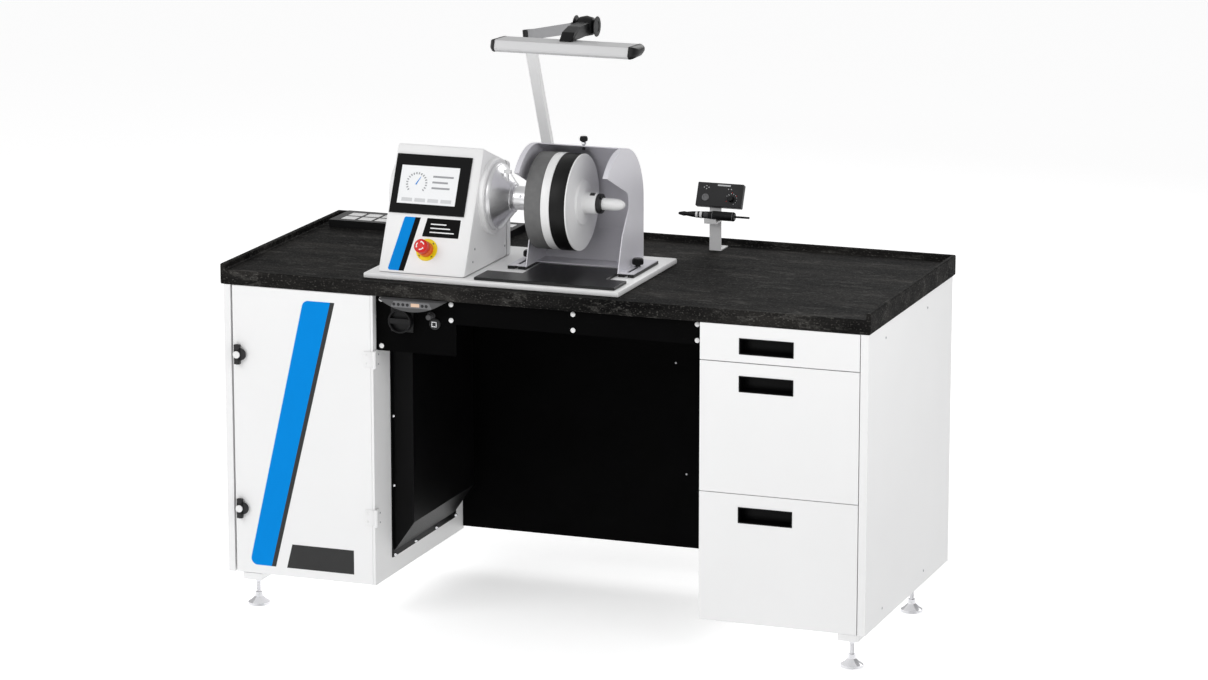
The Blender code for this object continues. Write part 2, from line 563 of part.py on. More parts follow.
def dust_hood():
    """Sheet hood: two side plates, arched roof cut back in the middle, sloping rear chute and feet."""
    left, right = HOOD_X
    hood = outline("dust_hood", "hood_sheet", hood_profile(), HOOD_X, origin=(0.0, SPINDLE_Y, HOOD_FOOT_Z))
    inner = (left + HOOD_SHEET, right - HOOD_SHEET)
    rear_radius = HOOD_RADIUS - HOOD_SHEET
    rear = HOOD_CENTRE[0] + rear_radius
    hollow = [(-0.40, 0.90), (-0.1100, 0.90), (-0.1100, HOOD_FOOT_Z + HOOD_SHEET),
              (-0.0400, HOOD_FOOT_Z + HOOD_SHEET), (rear, 1.0250)]
    hollow += arc(HOOD_CENTRE, rear_radius, 0, 180, 24) + [(-0.40, 1.1150)]
    behind = [(rear + HOOD_SHEET * 2, 0.90), (rear + HOOD_SHEET * 2, 1.0180), (rear + HOOD_SHEET * 0.4, 1.0180),
              (-0.0385, HOOD_FOOT_Z), (-0.1150, HOOD_FOOT_Z - 0.001), (-0.1150, 0.90)]
    roof_edge = 12
    mouth_y = HOOD_CENTRE[0] + HOOD_RADIUS * math.sin(math.radians(roof_edge))
    side_strip = 0.014
    cut(hood,
        outline("hood_hollow", None, hollow, inner),
        outline("hood_behind", None, behind, inner),
        box("hood_mouth", None, (left + side_strip, right - side_strip), (-0.5, mouth_y), (1.125, 1.5)),
        rod("screw_hole", None, (0.021, -0.100, 1.20), (0.021, -0.100, 1.35), 0.0042, sides=12))
    for name, x in (("left", (left - 0.049, left + 0.001)), ("right", (right - 0.001, right + 0.042))):
        join(hood, box("hood_foot_" + name, None, x, (-0.1800, 0.0070), (HOOD_FOOT_Z, HOOD_FOOT_Z + HOOD_SHEET)))
    for name, x in (("left", left - 0.026), ("right", right + 0.021)):
        cut(hood, box("hood_slot_" + name, None, (x - 0.0045, x + 0.0045), (-0.1650, -0.0800), (0.90, 0.96)))
        hood_clamp(name, x)
    hood_screw()


def hood_clamp(side, x):
    """Stud and knob that hold one foot of the hood down on the base plate."""
    spot = (x, -0.0900)
    foot_top = HOOD_FOOT_Z + HOOD_SHEET + GAP
    turned("hood_clamp_" + side, "black_plastic",
           [(0.9720, 0.0), (0.9720, 0.0120), (0.9690, 0.0145), (0.9560, 0.0145), (0.9540, 0.0070),
            (foot_top, 0.0070), (foot_top, 0.0030), (PLATE_TOP + GAP, 0.0030), (PLATE_TOP + GAP, 0.0)],
           (*spot, 0.0), axis=Z_AXIS, sides=16)


def hood_screw():
    """Thumb screw through the roof, near its front edge."""
    turned("hood_top_screw", "black_plastic",
           [(1.2900, 0.0), (1.2900, 0.0085), (1.2880, 0.0100), (1.2780, 0.0100), (1.2750, 0.0050),
            (1.2750, 0.0036), (1.2540, 0.0036), (1.2540, 0.0)], (0.021, -0.100, 0.0), axis=Z_AXIS, sides=16)


def work_mat():
    """Rubber mat: a wide bar in front of the hood and a tongue between its feet."""
    front, step, back = -0.348, -0.253, -0.118
    mat = plan("work_mat", "rubber",
               [(-0.193, front), (0.197, front), (0.197, step), (0.140, step), (0.140, back), (-0.0935, back),
                (-0.0935, step), (-0.193, step)], (PLATE_TOP + GAP, PLATE_TOP + 0.0080))
    soften(mat, 0.0015)


# ---------------------------------------------------------------- lamp
def lamp():
    """Edge bracket, swivel, two arms, knuckle and head."""
    x, y = LAMP_BASE
    strip_top = WORKTOP_Z + STRIP_HEIGHT + GAP
    under = WORKTOP_Z - SLAB - GAP
    rear = DEPTH_HALF + GAP
    outline("lamp_bracket", "black_coat",
            [(0.345, under - 0.010), (REACH, under - 0.010), (REACH, strip_top + 0.010), (0.325, strip_top + 0.010),
             (0.325, strip_top), (rear, strip_top), (rear, under), (0.345, under)], (x - 0.030, x + 0.030))
    base = strip_top + 0.010 + GAP
    swivel = rod("lamp_swivel", "black_plastic", (x, y, base), (x, y, 0.9780), 0.0240, sides=24,
                 origin=(x, y, base))
    for side in (-1, 1):
        cheek = x + side * 0.0185
        join(swivel, box("swivel_cheek_%d" % side, None, (cheek - 0.0040, cheek + 0.0040), (y - 0.0140, y + 0.0140),
                         (0.9700, LAMP_PIVOT_Z + 0.0140)))
    lower_arm(Vector((x, y, LAMP_PIVOT_Z)))
    upper_arm()
    lamp_head()


def tube_profile(name, width, height, wall, start, end, parent):
    """A rectangular tube along the parent's local X axis, with a cable slot on its local -Z side."""
    tube = box(name, "brushed_aluminium", (start, end), (-width / 2, width / 2), (-height / 2, height / 2),
               parent=parent)
    bore = box(name + "_bore", None, (start - 0.01, end + 0.01), (wall - width / 2, width / 2 - wall),
               (wall - height / 2, height / 2 - wall), parent=parent)
    slot = box(name + "_cable_slot", None, (start + 0.06, end - 0.06), (-0.003, 0.003), (-height, 0.0),
               parent=parent)
    cut(tube, bore, slot)
    return tube


def lower_arm(pivot):
    """Lower arm: its frame's local X runs from the pivot to the elbow, local Y across the arm."""
    along = Vector(ELBOW) - pivot
    frame = aimed_empty("lower_arm_frame", pivot, along, -X_AXIS)
    reach = along.length
    arm = tube_profile("lamp_lower_arm", 0.0280, 0.0190, 0.0018, -0.012, reach - 0.0270, frame)
    join(arm, rod("lower_arm_top", None, (reach - 0.050, 0, 0), (reach - 0.0230, 0, 0), 0.0085, parent=frame),
         box("lower_arm_plug", None, (reach - 0.0450, reach - 0.0300), (-0.0135, 0.0135), (-0.0090, 0.0090),
             parent=frame))


def aimed_empty(name, origin, along, across):
    """A guide whose local X points along the first direction and local Y is near the second."""
    first = Vector(along).normalized()
    third = first.cross(Vector(across)).normalized()
    second = third.cross(first)
    turn = Matrix((first, second, third)).transposed()
    return empty(name, origin, turn.to_euler())


def upper_arm():
    """Upper arm with the elbow block at its near end."""
    elbow = Vector(ELBOW)
    along = Vector(KNUCKLE) - elbow
    level = Vector((along.x, along.y, 0.0)).normalized()
    frame = aimed_empty("upper_arm_frame", elbow, along, Z_AXIS.cross(level))
    tube_end = along.length - 0.048
    arm = tube_profile("lamp_upper_arm", 0.0190, 0.0270, 0.0018, -0.005, tube_end, frame)
    join(arm, rod("elbow_block", None, (0.0, 0.0, -0.0125), (0.0, 0.0, 0.0150), 0.0155, sides=24, parent=frame),
         box("upper_arm_plug", None, (tube_end - 0.020, tube_end - 0.004), (-0.0085, 0.0085), (-0.0125, 0.0125),
             parent=frame),
         rod("knuckle_stub", None, (tube_end - 0.012, 0, 0), (along.length - 0.0300, 0, 0), 0.0080, parent=frame))


def lamp_head():
    """Knuckle with its neck, and the flat lamp head."""
    centre = Vector(KNUCKLE)
    knuckle = turned("lamp_knuckle", "black_plastic",
                     [(0.0280, 0.0), (0.0260, 0.0140), (0.0180, 0.0230), (0.0, 0.0270), (-0.0180, 0.0230),
                      (-0.0260, 0.0140), (-0.0280, 0.0)], centre, sides=28)
    neck_end = Vector((centre.x, -0.2620, 1.5860))
    head_top = 1.5700
    join(knuckle, rod("neck", None, centre + Vector((0.0, -0.012, -0.004)), neck_end, 0.0190,
                      sides=16, end_radius=0.0110),
         rod("head_pin", None, (neck_end.x, neck_end.y + 0.002, neck_end.z),
             (neck_end.x, neck_end.y + 0.002, head_top), 0.0080, sides=16))
    head = [(-0.3300, 1.5720), (-0.3380, 1.5480), (-0.3280, 1.5400), (-0.2700, 1.5400), (-0.2260, 1.5560),
            (-0.2500, 1.5690)]
    half = 0.2030
    end_wall = 0.0180
    lamp = outline("lamp_head", "brushed_aluminium", head, (centre.x - half, centre.x + half),
                   origin=(neck_end.x, neck_end.y, head_top))
    soften(lamp, 0.0030)
    light_well = [(-0.3240, 1.5300), (-0.2720, 1.5300), (-0.2720, 1.5450), (-0.2430, 1.5560), (-0.2540, 1.5640),
                  (-0.3250, 1.5670)]
    cut(lamp, outline("light_well", None, light_well, (centre.x - half + end_wall, centre.x + half - end_wall)))


# ---------------------------------------------------------------- bench-top accessories
def parts_tray():
    """Tray with two rows of shallow square rests."""
    left, right = -0.8606, -0.3260
    front, back = 0.2375, 0.3750
    columns, cell, pitch = 10, 0.044, 0.0500
    tray = box("parts_tray", "black_plastic", (left, right), (front, back), (WORKTOP_Z + GAP, 0.9440))
    first = left + 0.024
    for row in range(2):
        y = front + 0.0215 + row * pitch
        for column in range(columns):
            x = first + column * pitch
            cut(tray, box("cell_%d_%d" % (row, column), None, (x, x + cell), (y, y + cell), (0.9410, 0.96)))


def micromotor():
    """Bent stand with a cradle, tilted control box, speed knob and handpiece."""
    x = 0.2515
    half = 0.0165
    stand = outline("micromotor_stand", "white_coat",
                    [(0.2980, WORKTOP_Z + GAP), (0.3580, WORKTOP_Z + GAP), (0.3580, 0.9262), (0.3010, 0.9262),
                     (0.3010, 1.0430), (0.3220, 1.0900), (0.3192, 1.0912), (0.2982, 1.0440)],
                    (x - half, x + half))
    cradle = [(0.2990, 1.0080), (0.2560, 1.0080), (0.2540, 1.0180), (0.2510, 1.0180), (0.2530, 1.0050),
              (0.2990, 1.0050)]
    join(stand, outline("cradle", None, cradle, (x - half, x + half)))
    tilt = math.radians(24)
    face = empty("control_face", (0.0, 0.2800, 1.0480), (-tilt, 0.0, 0.0))
    body = box("micromotor_box", "grey_plastic", (0.1995, 0.3295), (0.0, 0.0175), (0.0, 0.0660),
               origin=(0.2645, 0.0, 0.0), parent=face)
    soften(body, 0.0015)
    knob = (0.2990, -GAP, 0.0230)
    turned("speed_knob", "black_plastic", [(0.0120, 0.0), (0.0120, 0.0065), (0.0100, 0.0080), (0.0, 0.0085),
                                           (0.0, 0.0)], knob, axis=-Y_AXIS, sides=20, parent=face)
    axis_y, axis_z = 0.2740, 1.0245
    turned("handpiece", "black_plastic",
           [(0.3560, 0.0), (0.3560, 0.0028), (0.3160, 0.0028), (0.3150, 0.0105), (0.3120, 0.0125),
            (0.2520, 0.0125), (0.2480, 0.0105), (0.1960, 0.0080), (0.1780, 0.0055), (0.1700, 0.0065),
            (0.1560, 0.0035), (0.1560, 0.0)], (0.0, axis_y, axis_z), sides=20)


# ---------------------------------------------------------------- build
worktop()
left_carcass()
right_carcass()
knee_space()
dust_extraction()
door()
drawers()
feet()
controls()
housing()
motor()
spindle()
dust_hood()
work_mat()
lamp()
parts_tray()
micromotor()
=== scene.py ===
"""Looks for the polishing bench: materials on every CAD node, the small fittings, light and camera."""
import json
from math import asin, atan2, cos, pi, radians, sin, tan

import bmesh
import bpy
from mathutils import Matrix, Vector


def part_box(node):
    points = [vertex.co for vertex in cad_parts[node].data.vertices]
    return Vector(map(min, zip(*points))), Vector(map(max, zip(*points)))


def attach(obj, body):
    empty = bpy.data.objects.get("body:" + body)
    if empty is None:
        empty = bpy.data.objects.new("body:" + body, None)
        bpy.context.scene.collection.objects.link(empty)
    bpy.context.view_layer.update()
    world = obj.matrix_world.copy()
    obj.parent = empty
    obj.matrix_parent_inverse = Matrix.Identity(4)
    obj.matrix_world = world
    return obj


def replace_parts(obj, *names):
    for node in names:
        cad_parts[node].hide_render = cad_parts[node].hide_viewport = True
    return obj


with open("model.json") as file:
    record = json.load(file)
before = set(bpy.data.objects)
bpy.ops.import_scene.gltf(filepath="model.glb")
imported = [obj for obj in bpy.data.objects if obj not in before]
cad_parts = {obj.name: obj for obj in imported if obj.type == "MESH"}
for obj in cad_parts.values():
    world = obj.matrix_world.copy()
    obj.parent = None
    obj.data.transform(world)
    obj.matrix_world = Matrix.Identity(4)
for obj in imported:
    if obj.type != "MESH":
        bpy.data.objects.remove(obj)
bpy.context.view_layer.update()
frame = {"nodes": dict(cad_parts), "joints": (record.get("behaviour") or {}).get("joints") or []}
NODES = frame["nodes"]
JOINTS = {joint["name"]: joint for joint in frame["joints"]}
BENCH = "bench"
FEET = ("foot_front_left", "foot_front_right", "foot_rear_left", "foot_rear_right")
FULL = 2 * pi
BORE = 0.016                       # radius of the hole in all that sits on the spindle's thread
LIFT = 0.0003                       # thickness of a printed film, and a small gap
HOUSING_LEAN = atan2(0.147, 0.32)     # backward lean of the machine's front from upright
BOX_LEAN = radians(24)         # the same for the micromotor's control box


# ------------ materials
def new_material(name):
    """A node material with its Principled shader."""
    made = bpy.data.materials.new(name)
    made.use_nodes = True
    return made, made.node_tree, made.node_tree.nodes["Principled BSDF"]


def fill(node, values):
    """Set a node's inputs by name."""
    for name, value in values.items():
        node.inputs[name].default_value = value
    return node


def noise(tree, scale, detail=3.0, stretch=(1.0, 1.0, 1.0), roughness=0.5):
    """Noise over object coordinates, stretched along an axis where its factor is below one."""
    where = tree.nodes.new("ShaderNodeTexCoord")
    mapping = fill(tree.nodes.new("ShaderNodeMapping"), {"Scale": stretch})
    made = fill(tree.nodes.new("ShaderNodeTexNoise"),
                {"Scale": scale, "Detail": detail, "Roughness": roughness})
    tree.links.new(where.outputs["Object"], mapping.inputs["Vector"])
    tree.links.new(mapping.outputs["Vector"], made.inputs["Vector"])
    return made.outputs["Fac"]


def ramp(tree, factor, stops):
    """Colours along a factor; each stop is (position, colour)."""
    made = tree.nodes.new("ShaderNodeValToRGB")
    elements = made.color_ramp.elements
    while len(elements) < len(stops):
        elements.new(0.5)
    for element, (position, colour) in zip(elements, stops):
        element.position = position
        element.color = (*colour, 1.0)
    tree.links.new(factor, made.inputs["Fac"])
    return made.outputs["Color"]


def spread(tree, factor, low, high):
    """Map a noise factor onto a range of values."""
    made = fill(tree.nodes.new("ShaderNodeMapRange"),
                {"From Min": 0.3, "From Max": 0.7, "To Min": low, "To Max": high})
    tree.links.new(factor, made.inputs["Value"])
    return made.outputs["Result"]


def shades(colour, amount):
    """The colour a little darker and a little lighter."""
    return (tuple(value * (1 - amount) for value in colour),
            tuple(min(1.0, value * (1 + amount)) for value in colour))


def bump(tree, shader, height, distance):
    """Small relief from a height."""
    made = fill(tree.nodes.new("ShaderNodeBump"), {"Distance": distance})
    tree.links.new(height, made.inputs["Height"])
    tree.links.new(made.outputs["Normal"], shader.inputs["Normal"])


def finish_material(name, colour, roughness, metallic=0.0, vary=0.04, cloud=9.0, grain=900.0,
                    relief=4e-5, rough_vary=0.05, stretch=(1.0, 1.0, 1.0), coat=0.0, specular=0.5):
    """A surface with soft clouding, a fine grain and slightly uneven gloss."""
    made, tree, shader = new_material(name)
    low, high = shades(colour, vary)
    clouded = ramp(tree, noise(tree, cloud, 4.0, stretch), [(0.3, low), (0.7, high)])
    tree.links.new(clouded, shader.inputs["Base Color"])
    fine = noise(tree, grain, 2.0, stretch)
    gloss = spread(tree, fine, roughness - rough_vary, roughness + rough_vary)
    tree.links.new(gloss, shader.inputs["Roughness"])
    fill(shader, {"Metallic": metallic, "Specular IOR Level": specular, "Coat Weight": coat,
                  "Coat Roughness": 0.15})
    bump(tree, shader, fine, relief)
    return made


def laminate(name):
    """Dark slate-look laminate: long soft streaks, broken veins and light flecks."""
    made, tree, shader = new_material(name)
    none = (0.0, 0.0, 0.0)
    streaks = ramp(tree, noise(tree, 9.0, 8.0, (0.35, 1.6, 1.6), 0.62),
                   [(0.34, (0.004, 0.004, 0.004)), (0.52, (0.013, 0.0125, 0.012)),
                    (0.72, (0.03, 0.028, 0.026))])
    veins = ramp(tree, noise(tree, 21.0, 9.0, (0.5, 1.3, 1.3), 0.7),
                 [(0.56, none), (0.61, (0.03, 0.029, 0.027)), (0.66, none)])
    flecks = ramp(tree, noise(tree, 260.0, 2.0, (0.6, 1.0, 1.0), 0.5),
                  [(0.58, none), (0.72, (0.06, 0.058, 0.053))])
    first = tree.nodes.new("ShaderNodeMix")
    second = tree.nodes.new("ShaderNodeMix")
    for mix in (first, second):
        mix.data_type = "RGBA"
        mix.blend_type = "ADD"
        mix.inputs["Factor"].default_value = 1.0
    tree.links.new(streaks, first.inputs[6])
    tree.links.new(veins, first.inputs[7])
    tree.links.new(first.outputs[2], second.inputs[6])
    tree.links.new(flecks, second.inputs[7])
    tree.links.new(second.outputs[2], shader.inputs["Base Color"])
    relief = noise(tree, 120.0, 6.0, (0.5, 1.0, 1.0), 0.6)
    tree.links.new(spread(tree, relief, 0.5, 0.68), shader.inputs["Roughness"])
    shader.inputs["Specular IOR Level"].default_value = 0.02
    bump(tree, shader, relief, 0.0003)
    return made


# Each finish: its colour, its roughness, and what differs from the defaults of finish_material.
FINISHES = {
    "white_coat": ((0.84, 0.84, 0.84), 0.42, dict(relief=3e-5, vary=0.012)),
    "white_board": ((0.85, 0.85, 0.85), 0.4, dict(relief=2e-5, vary=0.01, cloud=4)),
    "white_plastic": ((0.82, 0.82, 0.82), 0.3, dict(grain=600, relief=1e-5, vary=0.015)),
    "black_board": ((0.0012, 0.0012, 0.0013), 0.6, dict(vary=0.3, specular=0.03)),
    "black_coat": ((0.002, 0.002, 0.0022), 0.4, dict(vary=0.25, specular=0.1)),
    "black_plastic": ((0.006, 0.006, 0.0065), 0.38, dict(vary=0.15, grain=1500, specular=0.22)),
    "dark_plastic": ((0.022, 0.022, 0.023), 0.45, dict(vary=0.1, grain=1500, specular=0.25)),
    "grey_plastic": ((0.075, 0.075, 0.077), 0.42, dict(vary=0.06, grain=1500, specular=0.25)),
    "mid_plastic": ((0.16, 0.16, 0.165), 0.45, dict(vary=0.06, grain=1500, specular=0.3)),
    "rubber": ((0.01, 0.01, 0.0105), 0.36,
               dict(vary=0.12, cloud=30, grain=700, relief=6e-5, specular=0.3)),
    "chrome": ((0.72, 0.72, 0.74), 0.16, dict(metallic=1, vary=0.05, rough_vary=0.03, relief=1e-5)),
    "polished": ((0.8, 0.8, 0.81), 0.34,
                 dict(metallic=1, vary=0.05, grain=500, relief=1e-5, stretch=(3.0, 0.3, 0.3))),
    "anodised": ((0.55, 0.55, 0.555), 0.45,
                 dict(metallic=0.2, vary=0.03, relief=2e-5, stretch=(0.04, 1.0, 1.0), grain=1400)),
    "arm_silver": ((0.84, 0.84, 0.84), 0.45, dict(metallic=0.05, vary=0.02, relief=2e-5)),
    "anodised_dark": ((0.29, 0.29, 0.3), 0.42, dict(metallic=0.35, vary=0.03, relief=2e-5, grain=1400)),
    "steel": ((0.46, 0.46, 0.48), 0.3, dict(metallic=1, vary=0.06, relief=2e-5)),
    "motor": ((0.09, 0.1, 0.11), 0.45, dict(metallic=0.4, vary=0.08)),
    "cast": ((0.4, 0.41, 0.42), 0.5, dict(metallic=0.8, vary=0.1, grain=400, relief=2e-4)),
    "hood": ((0.7, 0.69, 0.735), 0.38, dict(metallic=0.1, vary=0.02, relief=2e-5)),
    "grey_wheel": ((0.135, 0.135, 0.135), 0.72, dict(vary=0.08, cloud=60, grain=1200, relief=2e-4)),
    "black_wheel": ((0.005, 0.005, 0.005), 0.45,
                    dict(vary=0.2, cloud=60, grain=1200, relief=1.2e-4, specular=0.22)),
    "blue": ((0.0004, 0.24, 0.7), 0.5, dict(vary=0.015, specular=0.04)),
    # painted shade as well as print: the flange hub's slots, and the real printed marks on the door and the
    # stop plate
    "grey_print_and_painted_shade": ((0.04, 0.04, 0.04), 0.45, dict(vary=0.05, specular=0.12)),
    # painted shade as well as print: black inlays for the rear vent slots, and the front panel's real black
    # print
    "black_print_and_painted_shade": ((0.0015, 0.0015, 0.0015), 0.45, dict(vary=0.1, specular=0.06)),
    "red": ((0.62, 0.01, 0.007), 0.32, dict(vary=0.04, relief=1e-5, specular=0.25)),
    "orange": ((0.75, 0.105, 0.012), 0.38, dict(vary=0.04)),
    "yellow": ((0.88, 0.68, 0.012), 0.4, dict(vary=0.03, specular=0.2)),
    "glass_black": ((0.0015, 0.0015, 0.0017), 0.3,
                    dict(vary=0.1, relief=0.0, rough_vary=0.02, specular=0.06)),
    "screen_white": ((0.8, 0.81, 0.82), 0.25, dict(vary=0.01, relief=0.0)),
    "screen_grey": ((0.26, 0.27, 0.28), 0.3, dict(vary=0.02, relief=0.0)),
    "screen_pale": ((0.55, 0.56, 0.57), 0.3, dict(vary=0.02, relief=0.0)),
    "display": ((0.72, 0.5, 0.36), 0.3, dict(vary=0.03, relief=0.0)),
    "diffuser": ((0.86, 0.87, 0.88), 0.5, dict(vary=0.01, coat=0.1)),
}


def make_looks():
    """Every finish by name."""
    looks = {name: finish_material(name, colour, roughness, **extras)
             for name, (colour, roughness, extras) in FINISHES.items()}
    looks["laminate"] = laminate("laminate")
    return looks


LOOKS = make_looks()


def paint_nodes():
    """Give every CAD node its finish."""
    finishes = {
        "white_coat": ("base_plate", "machine_housing", "rear_cover", "motor_cap", "outer_flange",
                       "micromotor_stand"),
        "white_board": ("left_carcass", "right_carcass", "left_door", "drawer_top", "drawer_middle",
                        "drawer_bottom"),
        "white_plastic": ("door_hinge_upper", "door_hinge_lower", "spacer_wheel", "spindle_lock_knob",
                          "taper_tip"),
        "laminate": ("worktop",),
        "black_board": ("modesty_panel", "front_apron"),
        "black_coat": ("filter_cover", "lamp_bracket"),
        "black_plastic": ("main_switch_knob", "hood_clamp_left", "hood_clamp_right", "hood_top_screw",
                          "lamp_swivel", "lamp_knuckle", "parts_tray", "speed_knob", "handpiece",
                          "door_latch_upper", "door_latch_lower"),
        "dark_plastic": ("micromotor_box", "lock_nut"),
        "grey_plastic": ("display_pod", "push_button", "filter_box"),
        "rubber": ("work_mat",),
        "chrome": FEET,
        "polished": ("nose_cone", "hub_sleeve"),
        "arm_silver": ("lamp_lower_arm",),
        "anodised_dark": ("lamp_upper_arm",),
        "steel": ("spindle_shaft", "motor_rotor", "front_bearing", "rear_bearing"),
        "motor": ("motor_stator",),
        "cast": ("suction_blower",),
        "hood": ("dust_hood",),
        "grey_wheel": ("grey_wheel",),
        "black_wheel": ("black_wheel",),
        "yellow": ("estop_base",),
        "red": ("estop_button",),
        "glass_black": ("touch_screen",),
        "diffuser": ("lamp_head",),
    }
    painted = set()
    for look, names in finishes.items():
        for name in names:
            mesh = NODES[name].data
            mesh.materials.clear()
            mesh.materials.append(LOOKS[look])
            painted.add(name)
    missing = sorted(set(NODES) - painted)
    if missing:
        raise RuntimeError("nodes with no finish: %s" % missing)


def smooth_nodes():
    """Weld the CAD nodes and shade their round faces smooth, with every corner left crisp."""
    for node in NODES.values():
        weld = node.modifiers.new("weld", "WELD")
        weld.merge_threshold = 0.00002
        node.data.shade_smooth()
        corners = node.modifiers.new("corners", "EDGE_SPLIT")
        corners.split_angle = radians(26)
        corners.use_edge_sharp = False


# ------------ building pieces
def polar(radius, angle):
    """A point at a radius and an angle."""
    return radius * cos(angle), radius * sin(angle)


def at(place, x, y, z=0.0):
    """The frame moved along its own axes."""
    return place @ Matrix.Translation((x, y, z))


def spin(angle):
    """A turn about Z."""
    return Matrix.Rotation(angle, 4, "Z")


def pivot_of(joint):
    """The point that a joint turns about."""
    return Vector(JOINTS[joint]["pos_m"])


def middle_of(node):
    """The middle of a CAD node's box."""
    low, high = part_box(node)
    return (low + high) / 2


def local_frame(origin, across, up):
    """A frame whose local X runs across, Y up and Z out of the surface."""
    x = Vector(across).normalized()
    z = x.cross(Vector(up)).normalized()
    y = z.cross(x)
    turn = Matrix((x, y, z)).transposed().to_4x4()
    return Matrix.Translation(Vector(origin)) @ turn


IDENTITY = Matrix.Identity(4)


def add_block(bm, low, high, place=IDENTITY, bevel=0.0):
    """A block between two corners of the frame, with rounded edges."""
    low, high = Vector(low), Vector(high)
    made = bmesh.ops.create_cube(bm, size=1.0)["verts"]
    bmesh.ops.scale(bm, vec=high - low, verts=made)
    bmesh.ops.translate(bm, vec=(low + high) / 2, verts=made)
    if bevel > 0:
        edges = list({edge for vert in made for edge in vert.link_edges})
        faces = bmesh.ops.bevel(bm, geom=edges, offset=bevel, segments=2, affect="EDGES", profile=0.5)
        made = list({vert for face in faces["faces"] for vert in face.verts}
                    | {vert for vert in made if vert.is_valid})
    bmesh.ops.transform(bm, matrix=place, verts=made)
    return made


def add_turned(bm, profile, place, sides=32):
    """Turn (radius, height) points about the frame's Z axis; the ends are closed where they are open."""
    rings = []
    for radius, height in profile:
        if radius < 1e-7:
            rings.append([bm.verts.new(place @ Vector((0, 0, height)))])
        else:
            turns = [FULL * step / sides for step in range(sides)]
            rings.append([bm.verts.new(place @ Vector((*polar(radius, turn), height))) for turn in turns])
    for lower, upper in zip(rings, rings[1:]):
        for step in range(sides):
            after = (step + 1) % sides
            corners = [lower[step % len(lower)], lower[after % len(lower)], upper[after % len(upper)],
                       upper[step % len(upper)]]
            unique = list(dict.fromkeys(corners))
            if len(unique) > 2:
                bm.faces.new(unique)
    for ring in (rings[0], rings[-1]):
        if len(ring) > 1:
            bm.faces.new(ring)


def add_prism(bm, points, low, high, place=IDENTITY, bevel=0.0):
    """A flat outline in the frame's XY plane, as thick as the two heights."""
    bottom = [bm.verts.new(place @ Vector((x, y, low))) for x, y in points]
    top = [bm.verts.new(place @ Vector((x, y, high))) for x, y in points]
    bm.faces.new(list(reversed(bottom)))
    lid = bm.faces.new(top)
    for index in range(len(points)):
        after = (index + 1) % len(points)
        bm.faces.new((bottom[index], bottom[after], top[after], top[index]))
    if bevel > 0:
        bmesh.ops.bevel(bm, geom=list(lid.edges), offset=bevel, segments=2, affect="EDGES", profile=0.5)


# The part's slot that a finish fills; a look that isn't here fills none, unless the piece names one.
SLOTS = {"black_coat": "black_plastic", "dark_plastic": "black_plastic", "mid_plastic": "grey_plastic",
         "polished": "polished_aluminium", "anodised": "brushed_aluminium", "diffuser": "white_plastic",
         "red": "red_plastic", "orange": "red_plastic"}
for same in ("white_plastic", "black_plastic", "grey_plastic", "white_coat", "steel", "chrome", "rubber",
             "grey_wheel", "black_wheel"):
    SLOTS[same] = same


def piece(name, bm, body, look, slot=None, smooth=35.0):
    """Turn the bmesh into a piece that rides on a body."""
    bmesh.ops.recalc_face_normals(bm, faces=bm.faces)
    mesh = bpy.data.meshes.new(name)
    bm.to_mesh(mesh)
    bm.free()
    mesh.shade_smooth()
    mesh.set_sharp_from_angle(angle=radians(smooth))
    made = bpy.data.objects.new(name, mesh)
    bpy.context.scene.collection.objects.link(made)
    made.data.materials.append(LOOKS[look])
    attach(made, body)
    slot = slot or SLOTS.get(look)
    return made


def turned_piece(name, body, look, profile, place, sides, **extras):
    """A piece that is one turned shape."""
    bm = bmesh.new()
    add_turned(bm, profile, place, sides)
    return piece(name, bm, body, look, **extras)


def prism_piece(name, body, look, points, low, high, place, bevel=0.0, **extras):
    """A piece that is one prism."""
    bm = bmesh.new()
    add_prism(bm, points, low, high, place, bevel)
    return piece(name, bm, body, look, **extras)


def rounded(points, radii, steps=6):
    """The outline with its corners rounded; one radius for each corner."""
    made = []
    count = len(points)
    for index, (point, radius) in enumerate(zip(points, radii)):
        here = Vector(point)
        if radius <= 0:
            made.append(tuple(here))
            continue
        before = (Vector(points[index - 1]) - here).normalized()
        after = (Vector(points[(index + 1) % count]) - here).normalized()
        half = before.angle(after) / 2
        reach = radius / tan(half)
        centre = here + (before + after).normalized() * (radius / sin(half))
        start = here + before * reach - centre
        end = here + after * reach - centre
        turn = start.angle_signed(end)
        for step in range(steps + 1):
            angle = -turn * step / steps
            made.append((centre.x + start.x * cos(angle) - start.y * sin(angle),
                         centre.y + start.x * sin(angle) + start.y * cos(angle)))
    return made


def screw_head(bm, place, radius, height, socket=0.45):
    """A domed socket screw."""
    add_turned(bm, [(radius, 0), (radius, height * 0.45), (radius * 0.86, height * 0.85),
                    (radius * 0.62, height), (radius * socket, height), (radius * socket, height * 0.35),
                    (0, height * 0.35)], place, 20)


FRONT = ((1, 0, 0), (0, 0, 1))      # across and up on a face that looks at the operator


def on_front(x, y, z):
    """Frame on a face that looks along -Y."""
    return local_frame((x, y, z), *FRONT)


def facing(origin, normal):
    """Frame whose Z looks along the normal."""
    normal = Vector(normal).normalized()
    across = Vector((0, 0, 1)).cross(normal)
    if across.length < 0.01:
        across = Vector((1, 0, 0))
    up = normal.cross(across)
    return local_frame(origin, across, up)


